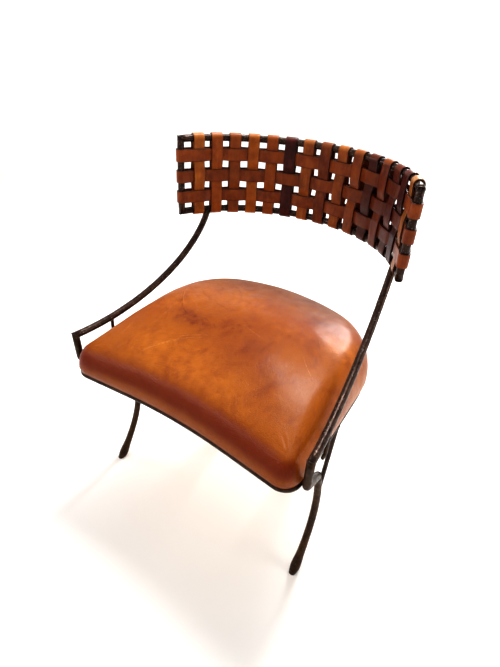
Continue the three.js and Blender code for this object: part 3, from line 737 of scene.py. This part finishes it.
def seat_ring_frame():
    tube("seat_front_rail", resample(ring_front, 4.0), THIN_RADIUS, seed=40.0, **THIN_ROD)
    tube("seat_rear_bow", resample(ring_rear, 5.0), THIN_RADIUS, seed=41.0, **THIN_ROD)
    rear_line = resample(ring_rear[::-1], 5.0)
    for name, side in SIDES:
        rail = np.array([ring_side_point(joint, side) for joint in RING_JOINTS])
        tube(f"seat_side_rail_{name}", resample(rail, 6.0), THIN_RADIUS, seed=42.0 + side, **THIN_ROD)
        for end in rail:
            weld_mitre(end, rail[1] - rail[0], unit(rail[1] - rail[0]), THIN_RADIUS - 0.15, 0.6, end[1])

        foot, head = on_side(BRACE_FOOT, side), ring_side_point(BRACE_TOP_DEPTH, side)
        tube(f"leg_brace_{name}", resample([foot, head], 6.0), THIN_RADIUS, first_across=SIDEWAYS,
             seed=44.0 + side, **THIN_ROD)
        weld_round(foot, head - foot, THIN_RADIUS, on_side(leg_curve, side), ROD_RADIUS, 1.6, 46.0 + side)
        weld_round(head, foot - head, THIN_RADIUS, rail, THIN_RADIUS, 1.3, 48.0 + side)

        top = np.array([np.interp(STRUT_DEPTH, arm_curve[:, 1], arm_curve[:, k]) for k in range(3)])
        bend = np.array([top[0], top[1], STRUT_BEND_HEIGHT])
        low = ring_side_point(STRUT_DEPTH) + [THIN_RADIUS + STRUT_RADIUS - 0.4, 0.0, -THIN_RADIUS]
        strut = on_side(resample(bent_path([low, bend, top], [STRUT_BEND_RADIUS]), 4.0), side)
        tube(f"arm_strut_{name}", strut, STRUT_RADIUS, hammer=0.12, sides=16, seed=50.0 + side, **LEG_ROD)
        weld_round(on_side(top, side), -UP, STRUT_RADIUS, on_side(arm_curve, side), ROD_RADIUS, 1.3, 52.0 + side)

        index = np.argmin(np.abs(rear_line[:, 0] - side * REAR_LEG_X))
        leg_head = rear_line[index] - [0.0, 0.0, THIN_RADIUS - 1.5]
        corners = [leg_head, *(on_side(p, side) for p in (*REAR_LEG_HANDLES, REAR_FOOT))]
        rear_leg = resample(bezier(corners, 160), 4.0)
        tube(f"rear_leg_{name}", to_floor(rear_leg), foot_radius, seed=54.0 + side, **LEG_ROD)
        weld_round(leg_head, rear_leg[2] - leg_head, ROD_RADIUS - 1.0, rear_line, THIN_RADIUS, 1.5, 56.0 + side)


# Woven straps

half_flat = STRAP_WIDTH / 2 + WEAVE_MARGIN
wrap_offset = ROD_RADIUS + FIT_GAP + STRAP_THICKNESS / 2
weave_offset = (STRAP_THICKNESS + FIT_GAP) / 2
back_middle = (BACK_TOP + BACK_BOTTOM) / 2
STRAP_BEVEL = 1.05
STRAP_CROWN = 0.08
# How far a hand-cut strap strays sideways, its edges wave, and its faces swell
STRAP_STRAY = 0.35
EDGE_WAVE = 0.16
FACE_SWELL = 0.10
# From this height up, where a strap bends over the top rail, it is lightened as a painted highlight
RAIL_HIGHLIGHT_HEIGHT = 800.0
RAIL_HIGHLIGHT_BLEND = 10.0


def band_height_at(band):
    return back_middle + BAND_PITCH * ((BANDS - 1) / 2 - band)


def weave_side(strap, band):
    return -1 if (strap + band) % 2 == 0 else 1


def ease(share):
    share = np.clip(share, 0.0, 1.0)
    return share * share * (3 - 2 * share)


def layer_stations(marks, length, spacing=2.6):
    """One layer of a strap: flat on each crossing, easing over in between.

    marks are (start, end, place) with place a function from the distance along to a point.
    """
    marks = [(-1.0, 0.0, marks[0]), *marks[1:-1], (length, length + 1.0, marks[-1])]
    result = []
    for (_, end, place_a), (start, stop, place_b) in zip(marks, marks[1:]):
        steps = max(3, int(math.ceil((start - end) / spacing)))
        for at in np.linspace(end, start, steps, endpoint=False):
            share = ease((at - end) / (start - end))
            result.append(place_a(at) * (1 - share) + place_b(at) * share)
        if stop < length:
            steps = int((stop - start) / (2 * spacing))
            result.extend(place_b(at) for at in np.linspace(start, stop, steps, endpoint=False))
    result.append(marks[-1][2](length))
    return np.array(result)


def half_turn(middle, start, outward, steps=14):
    angles = np.linspace(0, math.pi, steps + 1)[1:-1]
    return np.array([middle + (start * math.cos(a) + outward * math.sin(a)) * wrap_offset for a in angles])


def strap_section(width):
    """Corners round, both wide faces slightly crowned. First coordinate across, second through."""
    half, thick = width / 2 - STRAP_BEVEL, STRAP_THICKNESS / 2 - STRAP_BEVEL
    section = []
    for sx, sy in ((1, 1), (-1, 1), (-1, -1), (1, -1)):
        angles = np.linspace(0, math.pi / 2, 5)
        for angle in angles if sx * sy > 0 else angles[::-1]:
            x, y = half + STRAP_BEVEL * math.cos(angle), thick + STRAP_BEVEL * math.sin(angle)
            section.append((sx * x, sy * y))
        if sx * sy > 0:
            for share in (0.6, 0.2, -0.2, -0.6):
                section.append((sx * half * share, sy * (STRAP_THICKNESS / 2 + STRAP_CROWN)))
    return section


def strap_piece(node, loop, across, material, seed, spread):
    """A closed strap along a loop whose two ends butt together under another strap."""
    half = STRAP_WIDTH / 2 + spread
    section = strap_section(2 * half)
    vertices, across_values, highlight_values = [], [], []
    for station, at, (side, through) in zip(loop, lengths_along(loop), frames_along(loop, across)):
        stray = STRAP_STRAY * noise.noise(Vector((at / 60.0, seed, 0.0)))
        for x, y in section:
            wave = EDGE_WAVE * noise.noise(Vector((at / 7.0, seed + math.copysign(5.0, x), 1.0))) * x / half
            swell = FACE_SWELL * noise.noise(Vector((at / 16.0, x / 12.0, seed + 9.0)))
            spot = station + side * (x + stray + wave)
            spot = spot + through * (y + math.copysign(swell, y))
            vertices.append(spot)
            across_values.append(x / half)
            highlight_values.append(float(ease((spot[2] - RAIL_HIGHLIGHT_HEIGHT) / RAIL_HIGHLIGHT_BLEND)))
    obj = add_mesh(f"woven_{node}", vertices, capped_strip(len(loop), len(section)), material, [node])
    set_point_values(obj, "across", across_values)
    set_point_values(obj, "rail_bend_highlight", highlight_values)


def loop_from(rear, first_wrap, front, last_wrap, seam):
    """Rear layer from the seam on, wrap, front layer, wrap, and the rear layer up to the seam."""
    gap = unit(rear[seam + 1] - rear[seam]) * FIT_GAP / 2
    return np.vstack([
        [rear[seam] + gap], rear[seam + 1 :], first_wrap, front, last_wrap, rear[:seam], [rear[seam] - gap],
    ])


# Base, dark and light dye of each upright strap, from the left. The light dye also paints the highlight on the bend
# over the top rail
STRAP_DYES = (
    ("B4661B", "8A4611", "CF8C40"),
    ("A85618", "7C380E", "C47A32"),
    ("944916", "6E330D", "B0682A"),
    ("AA5A12", "7E3E0A", "C88032"),
    ("9E4E10", "74340A", "BE6E28"),
    ("481610", "2E0B07", "7A3020"),
    ("964C16", "6A300C", "D08A40"),
    ("7C3911", "562009", "AA6428"),
    ("9A5016", "6C320C", "D0863A"),
    ("8C4412", "622A0A", "CC7A30"),
    ("52200E", "370F06", "88401C"),
    ("702E0E", "4A1A08", "C06C26"),
    ("5A210D", "3B1207", "8E4018"),
    ("46160D", "2D0B05", "762E14"),
    ("A25F24", "784412", "CE9450"),
)
BAND_SHINE = 0.34
# How strong the painted shade toward the bands' right end is
BAND_RIGHT_SHADE = 0.75
BAND_DYES = (("964A15", "6C2E0C", "B0642A"), ("8A4212", "622A0A", "A85C26"), ("904612", "66280B", "AC6026"))


def upright_layer(strap, side):
    """Stations of an upright strap's rear (1) or front (-1) layer, from the bottom rail up."""
    angle = strap_angle_at(strap)

    def at_offset(offset):
        return lambda at: back_point(angle, side * (wrap_offset + offset), BACK_BOTTOM + at)

    marks = [at_offset(0.0)]
    for band in reversed(range(BANDS)):
        at = band_height_at(band) - BACK_BOTTOM
        marks.append((at - half_flat, at + half_flat, at_offset(weave_side(strap, band) * weave_offset)))
    return layer_stations([*marks, at_offset(0.0)], BACK_TOP - BACK_BOTTOM)


def upright_straps():
    for strap in range(STRAPS):
        angle, number = strap_angle_at(strap), strap + 1
        outward = back_direction(angle)
        rear, front = upright_layer(strap, 1)[::-1], upright_layer(strap, -1)
        inside = next(band_height_at(band) for band in reversed(range(BANDS)) if weave_side(strap, band) < 0)
        seam = int(np.argmin(np.abs(rear[:, 2] - inside)))
        low_turn = half_turn(back_point(angle, 0.0, BACK_BOTTOM), outward, -UP)
        high_turn = half_turn(back_point(angle, 0.0, BACK_TOP), -outward, UP)
        loop = loop_from(rear, low_turn, front, high_turn, seam)
        material = strap_material(f"strap_leather_{number}", STRAP_DYES[strap], strap * 1.7)
        strap_piece(f"upright_strap_{number}", loop, back_across(angle), material,
                    strap * 3.1, UPRIGHT_SPREAD)


def band_layer(band, side):
    """Stations of a band's rear (1) or front (-1) layer, from the left end post on."""
    height = band_height_at(band)

    def facet(middle, offset):
        return lambda at: (
            back_point(middle, side * (wrap_offset + offset), height)
            + back_across(middle) * (at / BACK_RADIUS - end_angle - middle) * BACK_RADIUS
        )

    marks = [facet(-end_angle, 0.0)]
    for strap in range(STRAPS):
        middle = strap_angle_at(strap)
        at = (middle + end_angle) * BACK_RADIUS
        marks.append((at - half_flat, at + half_flat, facet(middle, -weave_side(strap, band) * weave_offset)))
    return layer_stations([*marks, facet(end_angle, 0.0)], 2 * end_angle * BACK_RADIUS)


def band_turn(band, side):
    """A band's turn round its left (-1) or right (1) end post."""
    post = back_point(side * end_angle, 0.0, band_height_at(band))
    beyond = np.array([side * math.cos(end_angle), -math.sin(end_angle), 0.0])
    return half_turn(post, back_direction(side * end_angle) * -side, beyond)


def cross_bands():
    for band in range(BANDS):
        rear, front = band_layer(band, 1)[::-1], band_layer(band, -1)
        covered = strap_angle_at((STRAPS - 1) / 2 + band % 2)
        target = back_point(covered, wrap_offset, band_height_at(band))
        seam = int(np.argmin(np.linalg.norm(rear - target, axis=1)))
        loop = loop_from(rear, band_turn(band, -1), front, band_turn(band, 1), seam)
        number = band + 1
        dyed = strap_material(f"band_leather_{number}", BAND_DYES[band], 30 + band * 2.3, BAND_SHINE, BAND_RIGHT_SHADE)
        strap_piece(f"cross_band_{number}", loop, UP, dyed, 60 + band * 4.7, BAND_SPREAD)


# Seat

seat_middle = np.array([0.0, SEAT_MIDDLE_DEPTH, 0.0])
ring_top = RING_HEIGHT + THIN_RADIUS
half_width = RING_FRONT_CORNER[0] + THIN_RADIUS


def seat_outline():
    left, right = (
        resample([ring_side_point(joint, side) for joint in joints], 7.0)
        for side, joints in ((-1, RING_JOINTS[::-1]), (1, RING_JOINTS))
    )
    return np.vstack([left[1:-1], resample(ring_front, 6.0), right[1:-1], resample(ring_rear, 7.0)])


outline = seat_outline()
steps_along = np.roll(outline, -1, axis=0) - np.roll(outline, 1, axis=0)
steps_along /= np.linalg.norm(steps_along, axis=1)[:, None]
outline_out = np.column_stack([steps_along[:, 1], -steps_along[:, 0], np.zeros(len(outline))])
post_distance = np.hypot(np.abs(outline[:, 0]) - POST_FOOT[0], outline[:, 1] - POST_FOOT[1])
post_dents = POST_DENT * np.maximum(0.0, 1 - post_distance / POST_DENT_REACH)


def depth_share(y):
    return np.clip((y - RING_FRONT_CORNER[1]) / SIDE_RISE_DEPTH, 0, 1)


def seat_rise(x, y):
    depth = depth_share(y)
    width = x / half_width
    return CORNER_RISE + SIDE_RISE * np.sin(math.pi / 2 * depth) + FRONT_CROWN * (1 - width * width) * (1 - depth)


corner_distance = np.hypot(np.abs(outline[:, 0]) - RING_FRONT_CORNER[0], outline[:, 1] - RING_FRONT_CORNER[1])
shoulder_reach = CORNER_REACH + (SHOULDER_REACH - CORNER_REACH) * ease(corner_distance / CORNER_BLEND)
bulge_reach = SEAT_BULGE + REAR_BULGE * depth_share(outline[:, 1])


def dome(x, y):
    """Height of the stuffing's dome: little at the ridge, full in the middle, with no crease in the corners."""
    front = y < SEAT_MIDDLE_DEPTH
    rail_depth = RING_FRONT_MIDDLE + (RING_FRONT_CORNER[1] - RING_FRONT_MIDDLE) * (x / RING_FRONT_CORNER[0]) ** 2
    reach = np.where(front, DOME_FRONT_SHARE * (SEAT_MIDDLE_DEPTH - rail_depth), DOME_REAR)
    power = np.where(front, DOME_FRONT_POWER, DOME_REAR_POWER)
    gauge = (np.abs(x) / DOME_SIDE) ** power + (np.abs(y - SEAT_MIDDLE_DEPTH) / reach) ** power
    above_floor = 1 - gauge ** (2 / power) + DOME_FLOOR
    return DOME_HEIGHT * (0.5 * (above_floor + np.sqrt(above_floor * above_floor + DOME_BLEND)) - DOME_FLOOR)


def seat_ring(inset, low, rise_share=0.0, shoulder=0.0, bulge=0.0, size=1.0, domed=0.0):
    """The seat's outline drawn in or out, at a height low plus a share of the seat's rise, as in the source."""
    outward = THIN_RADIUS - inset - post_dents - (shoulder_reach - inset) * shoulder + bulge_reach * bulge
    spots = outline + outline_out * outward[:, None]
    for _ in range(round(CORNER_EASING * shoulder)):
        spots = 0.5 * spots + 0.25 * (np.roll(spots, 1, axis=0) + np.roll(spots, -1, axis=0))
    spots = (spots - seat_middle) * size + seat_middle
    x, y = spots[:, 0], spots[:, 1]
    spots[:, 2] = ring_top + low + seat_rise(x, y) * rise_share + dome(x, y) * domed
    return spots


SHOULDER_RING = 13
# The cover is lifted where the foam comes this near below it. A greater difference is the foam's edge.
FOAM_MARGIN = 1.2
FOAM_BESIDE = 30.0
CELL = 0.006
# The leather's swells, their heights and wavelengths, and the waves at the seat's rear right
BROAD_SWELL, BROAD_LENGTH = 0.9, 75.0
FINE_SWELL, FINE_LENGTH = 0.22, 22.0
REAR_WAVE = 0.45
REAR_WAVE_CENTRE = (205, 300)
REAR_WAVE_REACH = (60, 80)
PUCKER_SIZE = 0.42
PUCKER_CENTRE = (262.0, -4.0)
PUCKER_REACH = 70.0
PUCKER_HEIGHT = 10.0
STAPLE_INSET = 17.0
STAPLE_HALF = 5.5

# Dark clouds in the leather: place across, depth, reach, strength
PATCHES = ((-138, 180, 22, 0.95), (-104, 164, 27, 0.95), (-60, 158, 34, 0.6), (-10, 190, 46, 0.6),
           (60, 150, 50, 0.42), (130, 110, 46, 0.4), (-130, 330, 30, 0.45), (0, 400, 34, 0.5),
           (60, 415, 44, 0.8), (130, 350, 55, 0.8), (190, 60, 40, 0.3))
# Golden areas, as the dark clouds
GOLD = ((-120, 60, 70, 1.0), (-20, 50, 80, 1.0), (90, 40, 70, 0.8), (-190, 200, 60, 0.7), (-40, 300, 60, 0.6),
        (100, 250, 50, 0.5), (235, 270, 60, 0.9))


# Painted shade on the front roll and lower front face, and the rear's duller leather: where each begins and over
# what width it eases in. Levels are shares of the rise
FACES_FORWARD = (0.1, 0.6)
ROLL_SHADE_BEGINS = (0.2, 0.4)
ROLL_SHADE_ENDS = (0.79, 0.26)
ROLL_SHADE_RINGS = 7.0
LOW_FRONT_SHADE_ENDS = (0.1, 0.34)
DULL_DEPTH = (270.0, 150.0)
DULL_ENDS_RIGHT = (110.0, 90.0)
LINING_INSET = COVER_THICKNESS + 0.8
EDGE_RINGS = 25


def eased(values, start, width):
    return ease((values - start) / width)


def edge_rings(inset, steps, domed):
    """Rings round the rolled edge, from the side up to the crown."""
    rings = []
    for angle in np.linspace(0, math.pi / 2, steps):
        share = SIDE_SHARE + (1 - SIDE_SHARE) * math.sin(angle)
        lift = domed * math.sin(angle) ** 2
        rings.append(seat_ring(inset, -inset * share, share, 1 - math.cos(angle), math.cos(angle), domed=lift))
    return rings


def cover_rings():
    """The cover's outer face: hem, turn, sides, rolled edge and crown."""
    foot = FIT_GAP
    hem = COVER_TUCK + COVER_HEM
    turned_in = ((hem, foot + COVER_THICKNESS), (hem, foot), (hem - 8, foot), (12.0, foot), (COVER_TUCK, foot),
                 (1.7, foot + 0.6), (0.45, foot + 2.2))
    rings = [seat_ring(inset, height) for inset, height in turned_in]
    for t in np.linspace(0, 1, 6)[:-1]:
        rings.append(seat_ring(0.0, COVER_TURN * (1 - t), SIDE_SHARE * t, bulge=math.sin(math.pi / 2 * t)))
    rings += edge_rings(0.0, EDGE_RINGS, 1.0)
    rings += [seat_ring(0.0, 0.0, 1.0, 1.0, size=size, domed=1.0) for size in np.linspace(1, 0, 44)[1:-1]]
    return np.array(rings)


def lining_rings():
    """The cover's inner face, coarser than the outer one because no view shows it."""
    rings = [seat_ring(2 * COVER_THICKNESS + 1.0, FIT_GAP + COVER_THICKNESS),
             seat_ring(COVER_THICKNESS + 0.5, COVER_TURN), *edge_rings(LINING_INSET, 6, 0.0)]
    for size in (0.75, 0.5, 0.25, 0.06):
        rings.append(seat_ring(0.0, MIDDLE_CROWN * (1 - size * size) - LINING_INSET, 1.0, 1.0, size=size))
    return rings


def leather_marks(grid):
    """How strong each stain, wear and painted shade of the leather is at each point of the cover's outer face."""
    x, y = grid[:, :, 0], grid[:, :, 1]
    level = (grid[:, :, 2] - ring_top) / seat_rise(x, y)
    forward = eased(-outline_out[:, 1], *FACES_FORWARD)[None, :]
    past_edge = np.maximum(0, np.arange(len(grid)) - SHOULDER_RING - 14)[:, None]
    roll_shade = eased(level, *ROLL_SHADE_BEGINS) * (1 - eased(level, *ROLL_SHADE_ENDS)) * (0.15 + 0.85 * forward)
    cloud = np.array([[noise.fractal(Vector(v / 16.0), 0.8, 2.0, 4) for v in ring] for ring in grid])

    def stained(places):
        deepest = np.zeros(x.shape)
        for across, depth, reach, strength in places:
            away = np.hypot(x - across, (y - depth) * 1.2)
            deepest = np.maximum(deepest, strength * np.exp(-((away / reach) ** 2)))
        return np.clip(deepest * (0.75 + 0.9 * cloud), 0, 1)

    return {
        "patch": stained(PATCHES),
        "gold": stained(GOLD),
        # The front roll's band of painted shade, faded out above the shoulder
        "roll_shade": roll_shade * np.exp(-((past_edge / ROLL_SHADE_RINGS) ** 2)),
        "dull": eased(y, *DULL_DEPTH) * (1 - eased(x, *DULL_ENDS_RIGHT)),
        "underside": (1 - eased(level, *LOW_FRONT_SHADE_ENDS)) * forward * (level > 0),
    }


def seat_cover_piece():
    grid = clear_of_foam(soften(ease_ridge(cover_rings())))
    marks = leather_marks(grid)
    rings, count = grid.shape[:2]
    lining = lining_rings()
    outer = grid.reshape(-1, 3)
    crown_middle = len(outer)
    vertices = np.vstack([outer, [grid[-1].mean(axis=0)], *lining])
    last = crown_middle - count
    faces = strip_faces(rings, count)
    faces += [(last + i, last + (i + 1) % count, crown_middle) for i in range(count)]
    starts = [0, *(crown_middle + 1 + n * count for n in range(len(lining)))]
    for a, b in zip(starts, starts[1:]):
        faces += [(a + (i + 1) % count, a + i, b + i, b + (i + 1) % count) for i in range(count)]
    faces.append(tuple(starts[-1] + (i + 1) % count for i in range(count))[::-1])
    obj = add_mesh("seat_upholstery", vertices, faces, seat_material(), ["seat_cover"])
    for name, values in marks.items():
        set_point_values(obj, name, np.r_[values.reshape(-1), np.zeros(len(vertices) - crown_middle)])


def above_sides(rings):
    """0 for each ring up to the shoulder, easing to 1 over the next ones."""
    return eased(np.arange(rings), SHOULDER_RING, 8.0)


def ease_ridge(grid):
    """Stretched leather rolls over the foam's edge in a wide curve, so the profile is averaged above the sides."""
    share = above_sides(len(grid))[:, None, None]
    for _ in range(RIDGE_EASING):
        below = np.vstack([grid[:1], grid[:-1]])
        beyond = np.vstack([grid[1:], grid[-1:]])
        grid = grid + share * (0.25 * (below + beyond) - 0.5 * grid)
    return grid


def heights_from_above(skin, spots):
    """Height of a surface under each place of a flat grid, or a low value beside it."""
    found = np.full(spots.shape[:2], -1e3)
    for row, column in np.ndindex(found.shape):
        hit = skin.ray_cast(Vector((*spots[row, column], 1.0)), Vector((0, 0, -1)))[0]
        if hit is not None:
            found[row, column] = hit[2] / MM
    return found


def spread_out(field, laps, widest):
    """Grows the high places of a field, or evens the field out."""
    for _ in range(laps):
        for axis in (0, 1):
            sides = [np.roll(field, 1, axis=axis), np.roll(field, -1, axis=axis)]
            field = np.maximum.reduce([field, *sides]) if widest else 0.5 * field + 0.25 * (sides[0] + sides[1])
    return field


def clear_of_foam(grid):
    """The cover lifted in wide, smooth swells wherever the foam's hips would come too near its outer face."""
    foam_node = nodes["seat_foam"]
    corners = [foam_node.matrix_world @ v.co for v in foam_node.data.vertices]
    foam_skin = BVHTree.FromPolygons(corners, [tuple(p.vertices) for p in foam_node.data.polygons])
    rings, count = grid.shape[:2]
    placed = place(grid.reshape(-1, 3))
    cover_skin = BVHTree.FromPolygons([Vector(v) for v in placed], strip_faces(rings, count))
    low, high = placed[:, :2].min(axis=0) - 5 * CELL, placed[:, :2].max(axis=0) + 5 * CELL
    spots = np.stack(np.meshgrid(*(np.arange(low[k], high[k], CELL) for k in (0, 1))), axis=2)
    short = heights_from_above(foam_skin, spots) + FOAM_MARGIN - heights_from_above(cover_skin, spots)
    short = np.where(np.abs(short) < FOAM_BESIDE, np.maximum(short, 0.0), 0.0)
    lift = spread_out(spread_out(short, 3, True), 10, False)
    at = (placed[:, :2] - low) / CELL
    cell = at.astype(int)
    total = np.zeros(len(placed))
    for step in ((0, 0), (0, 1), (1, 0), (1, 1)):
        weight = np.prod(np.abs(1 - np.array(step) - (at - cell)), axis=1)
        total += weight * lift[cell[:, 1] + step[1], cell[:, 0] + step[0]]
    raised = grid.copy()
    raised[:, :, 2] += total.reshape(rings, count) * above_sides(rings)[:, None]
    return raised


def pucker(spot):
    """The fine gathers round the front corners, as a height at one point of the leather."""
    total = 0.0
    if spot[2] - ring_top > PUCKER_HEIGHT:
        for side in (-1, 1):
            dx, dy = side * spot[0] - PUCKER_CENTRE[0], spot[1] - PUCKER_CENTRE[1]
            away = math.hypot(dx, dy)
            if away < PUCKER_REACH:
                wave = math.atan2(dy, dx) * 17 + 2.5 * noise.noise(Vector(spot / 18.0))
                total += PUCKER_SIZE * math.exp(-((away - 24) / 22.0) ** 2) * math.sin(wave)
    return total


def soften(grid):
    """Pulled leather over foam: slow swells, puckers at the front corners, creases at the rear right."""
    normals = np.cross(np.gradient(grid, axis=0), np.roll(grid, -1, axis=1) - np.roll(grid, 1, axis=1))
    normals /= np.maximum(np.linalg.norm(normals, axis=2), 1e-9)[..., None]
    if normals[-3, 0, 2] < 0:
        normals = -normals
    result = grid.copy()
    for r in range(6, len(grid)):
        for c, spot in enumerate(grid[r]):
            swell = BROAD_SWELL * noise.noise(Vector(spot / BROAD_LENGTH))
            swell += FINE_SWELL * noise.noise(Vector(spot / FINE_LENGTH + 7.0))
            from_rear = (spot[:2] - REAR_WAVE_CENTRE) / REAR_WAVE_REACH
            wave = (spot[0] * 0.75 + spot[1] * 0.5) / 9.5 + 2 * noise.noise(Vector(spot / 40.0))
            swell += pucker(spot) + REAR_WAVE * math.exp(-from_rear.dot(from_rear)) * math.sin(wave)
            result[r, c] = spot + normals[r, c] * swell * min(1.0, (r - 5) / 5.0)
    return result


def staples():
    """Staples through the turned-in hem, on the underside."""
    vertices, faces = [], []
    for n in range(0, len(outline), 4):
        spot = outline[n] + outline_out[n] * (THIN_RADIUS - STAPLE_INSET)
        tilt = 0.25 * noise.noise(Vector((n * 0.7, 3.0, 1.0)))
        along = unit(steps_along[n] + outline_out[n] * tilt)
        across = np.cross(UP, along)
        base = spot + [0, 0, ring_top + FIT_GAP - 0.35 - spot[2]]
        first = len(vertices)
        for end in (-STAPLE_HALF, STAPLE_HALF):
            for a, b in ((-0.4, -0.4), (0.4, -0.4), (0.4, 0.6), (-0.4, 0.6)):
                vertices.append(base + along * end + across * a + UP * b)
        faces += [tuple(first + k for k in face) for face in capped_strip(2, 4)]
    add_mesh("hem_staples", vertices, faces, zinc, smooth=False)


zinc = zinc_material()
back_frame()
sides_of_frame()
seat_ring_frame()
add_mesh("weld_beads", welds["vertices"], welds["faces"], ring_iron)
upright_straps()
cross_bands()
seat_cover_piece()
staples()

finishes = {"seat_board": plywood_material(), "seat_foam": foam_material()}
for name, node in nodes.items():
    node.data.materials.clear()
    node.data.materials.append(finishes.get(name, zinc if "screw" in name else ring_iron))

# Camera, floor and lights

YAW, PITCH, ROLL = 0.5758, 0.5649, 0.0684
CAMERA = (503.44, -525.52, 1016.28)
FOCAL_PIXELS, FRAME_PIXELS, SENSOR = 475.0, 667.0, 36.0

forward = np.array([-math.sin(YAW) * math.cos(PITCH), math.cos(YAW) * math.cos(PITCH), -math.sin(PITCH)])
level = np.array([math.cos(YAW), math.sin(YAW), 0.0])
above = np.cross(level, forward)
right = math.cos(ROLL) * level + math.sin(ROLL) * above
top = -math.sin(ROLL) * level + math.cos(ROLL) * above
camera_data = bpy.data.cameras.new("camera")
camera_data.sensor_fit = "AUTO"
camera_data.sensor_width = SENSOR
camera_data.lens = FOCAL_PIXELS * SENSOR / FRAME_PIXELS
camera_data.clip_start, camera_data.clip_end = 0.01, 50.0
camera = bpy.data.objects.new("camera", camera_data)
bpy.context.scene.collection.objects.link(camera)
rotation = Matrix([[right[k], top[k], -forward[k]] for k in range(3)]).to_4x4()
camera.matrix_world = Matrix.Translation(Vector(place([CAMERA])[0])) @ rotation
bpy.context.scene.camera = camera


FLOOR_RADIUS, WALL_REACH, WALL_HEIGHT = 4.0, 4.0, 4.5
FLOOR_SIDES, WALL_STEPS = 64, 14

floor_rings = [(0.8, 0.0), (2.4, 0.0), (FLOOR_RADIUS, 0.0)]
for turn in np.linspace(0, math.pi / 2, WALL_STEPS + 1)[1:]:
    floor_rings.append((FLOOR_RADIUS + WALL_REACH * math.sin(turn), WALL_HEIGHT * (1 - math.cos(turn))))
floor_points = []
for radius, height in floor_rings:
    floor_points += circle(UP * height, SIDEWAYS, np.cross(UP, SIDEWAYS), radius, FLOOR_SIDES)
floor_faces = [tuple(range(FLOOR_SIDES))[::-1]] + strip_faces(len(floor_rings), FLOOR_SIDES)
pale = Graph("pale_floor").set(Base_Color=colour("FAF9F7"), Roughness=0.6)
floor = new_object("studio_floor", floor_points, floor_faces, pale)

# Lights: name, place, the spot it faces, size, power, tint
WHITE = (1.0, 1.0, 1.0)
LIGHTS = (
    ("roof_window", (-0.1, 0.9, 2.77), (0.15, -0.1, 0.42), (0.9, 0.8), 42.0, WHITE),
    ("ceiling", (-0.2, -0.4, 3.3), (0.0, 0.0, 0.0), (3.2, 3.2), 16.0, WHITE),
    ("wall_wash_left", (-3.4, 2.4, 3.2), (-6.6, 4.6, 1.0), (3.0, 1.6), 68.0, WHITE),
    ("wall_wash_back", (-0.6, 3.6, 3.2), (-1.2, 7.4, 1.0), (3.6, 1.6), 68.0, WHITE),
    ("back_window", (-0.26, 2.42, 2.1), (0.2, 0.04, 0.46), (0.6, 1.15), 50.0, WHITE),
    ("right_window", (2.4, 0.7, 1.25), (0.1, 0.05, 0.5), (1.2, 1.0), 14.0, (1.0, 0.95, 0.88)),
    ("left_window", (-2.55, -0.4, 1.0), (-0.2, -0.2, 0.42), (0.8, 0.8), 12.0, (1.0, 0.92, 0.94)),
    ("front_window", (-1.5, -2.2, 2.1), (0.0, -0.25, 0.42), (1.3, 0.6), 9.0, (1.0, 0.92, 0.93)),
)
for name, position, target, size, power, tint in LIGHTS:
    data = bpy.data.lights.new(name, "AREA")
    data.shape = "RECTANGLE"
    data.size, data.size_y = size
    data.energy = power
    data.color = tint
    light = bpy.data.objects.new(name, data)
    bpy.context.scene.collection.objects.link(light)
    light.location = position
    light.rotation_euler = (Vector(target) - Vector(position)).to_track_quat("-Z", "Y").to_euler()

world = bpy.data.worlds.new("studio")
world.use_nodes = True
background = world.node_tree.nodes["Background"]
background.inputs["Color"].default_value = (*WHITE, 1.0)
background.inputs["Strength"].default_value = 0.28
bpy.context.scene.world = world
view = bpy.context.scene.view_settings
view.view_transform = "Standard"
view.look = "High Contrast"
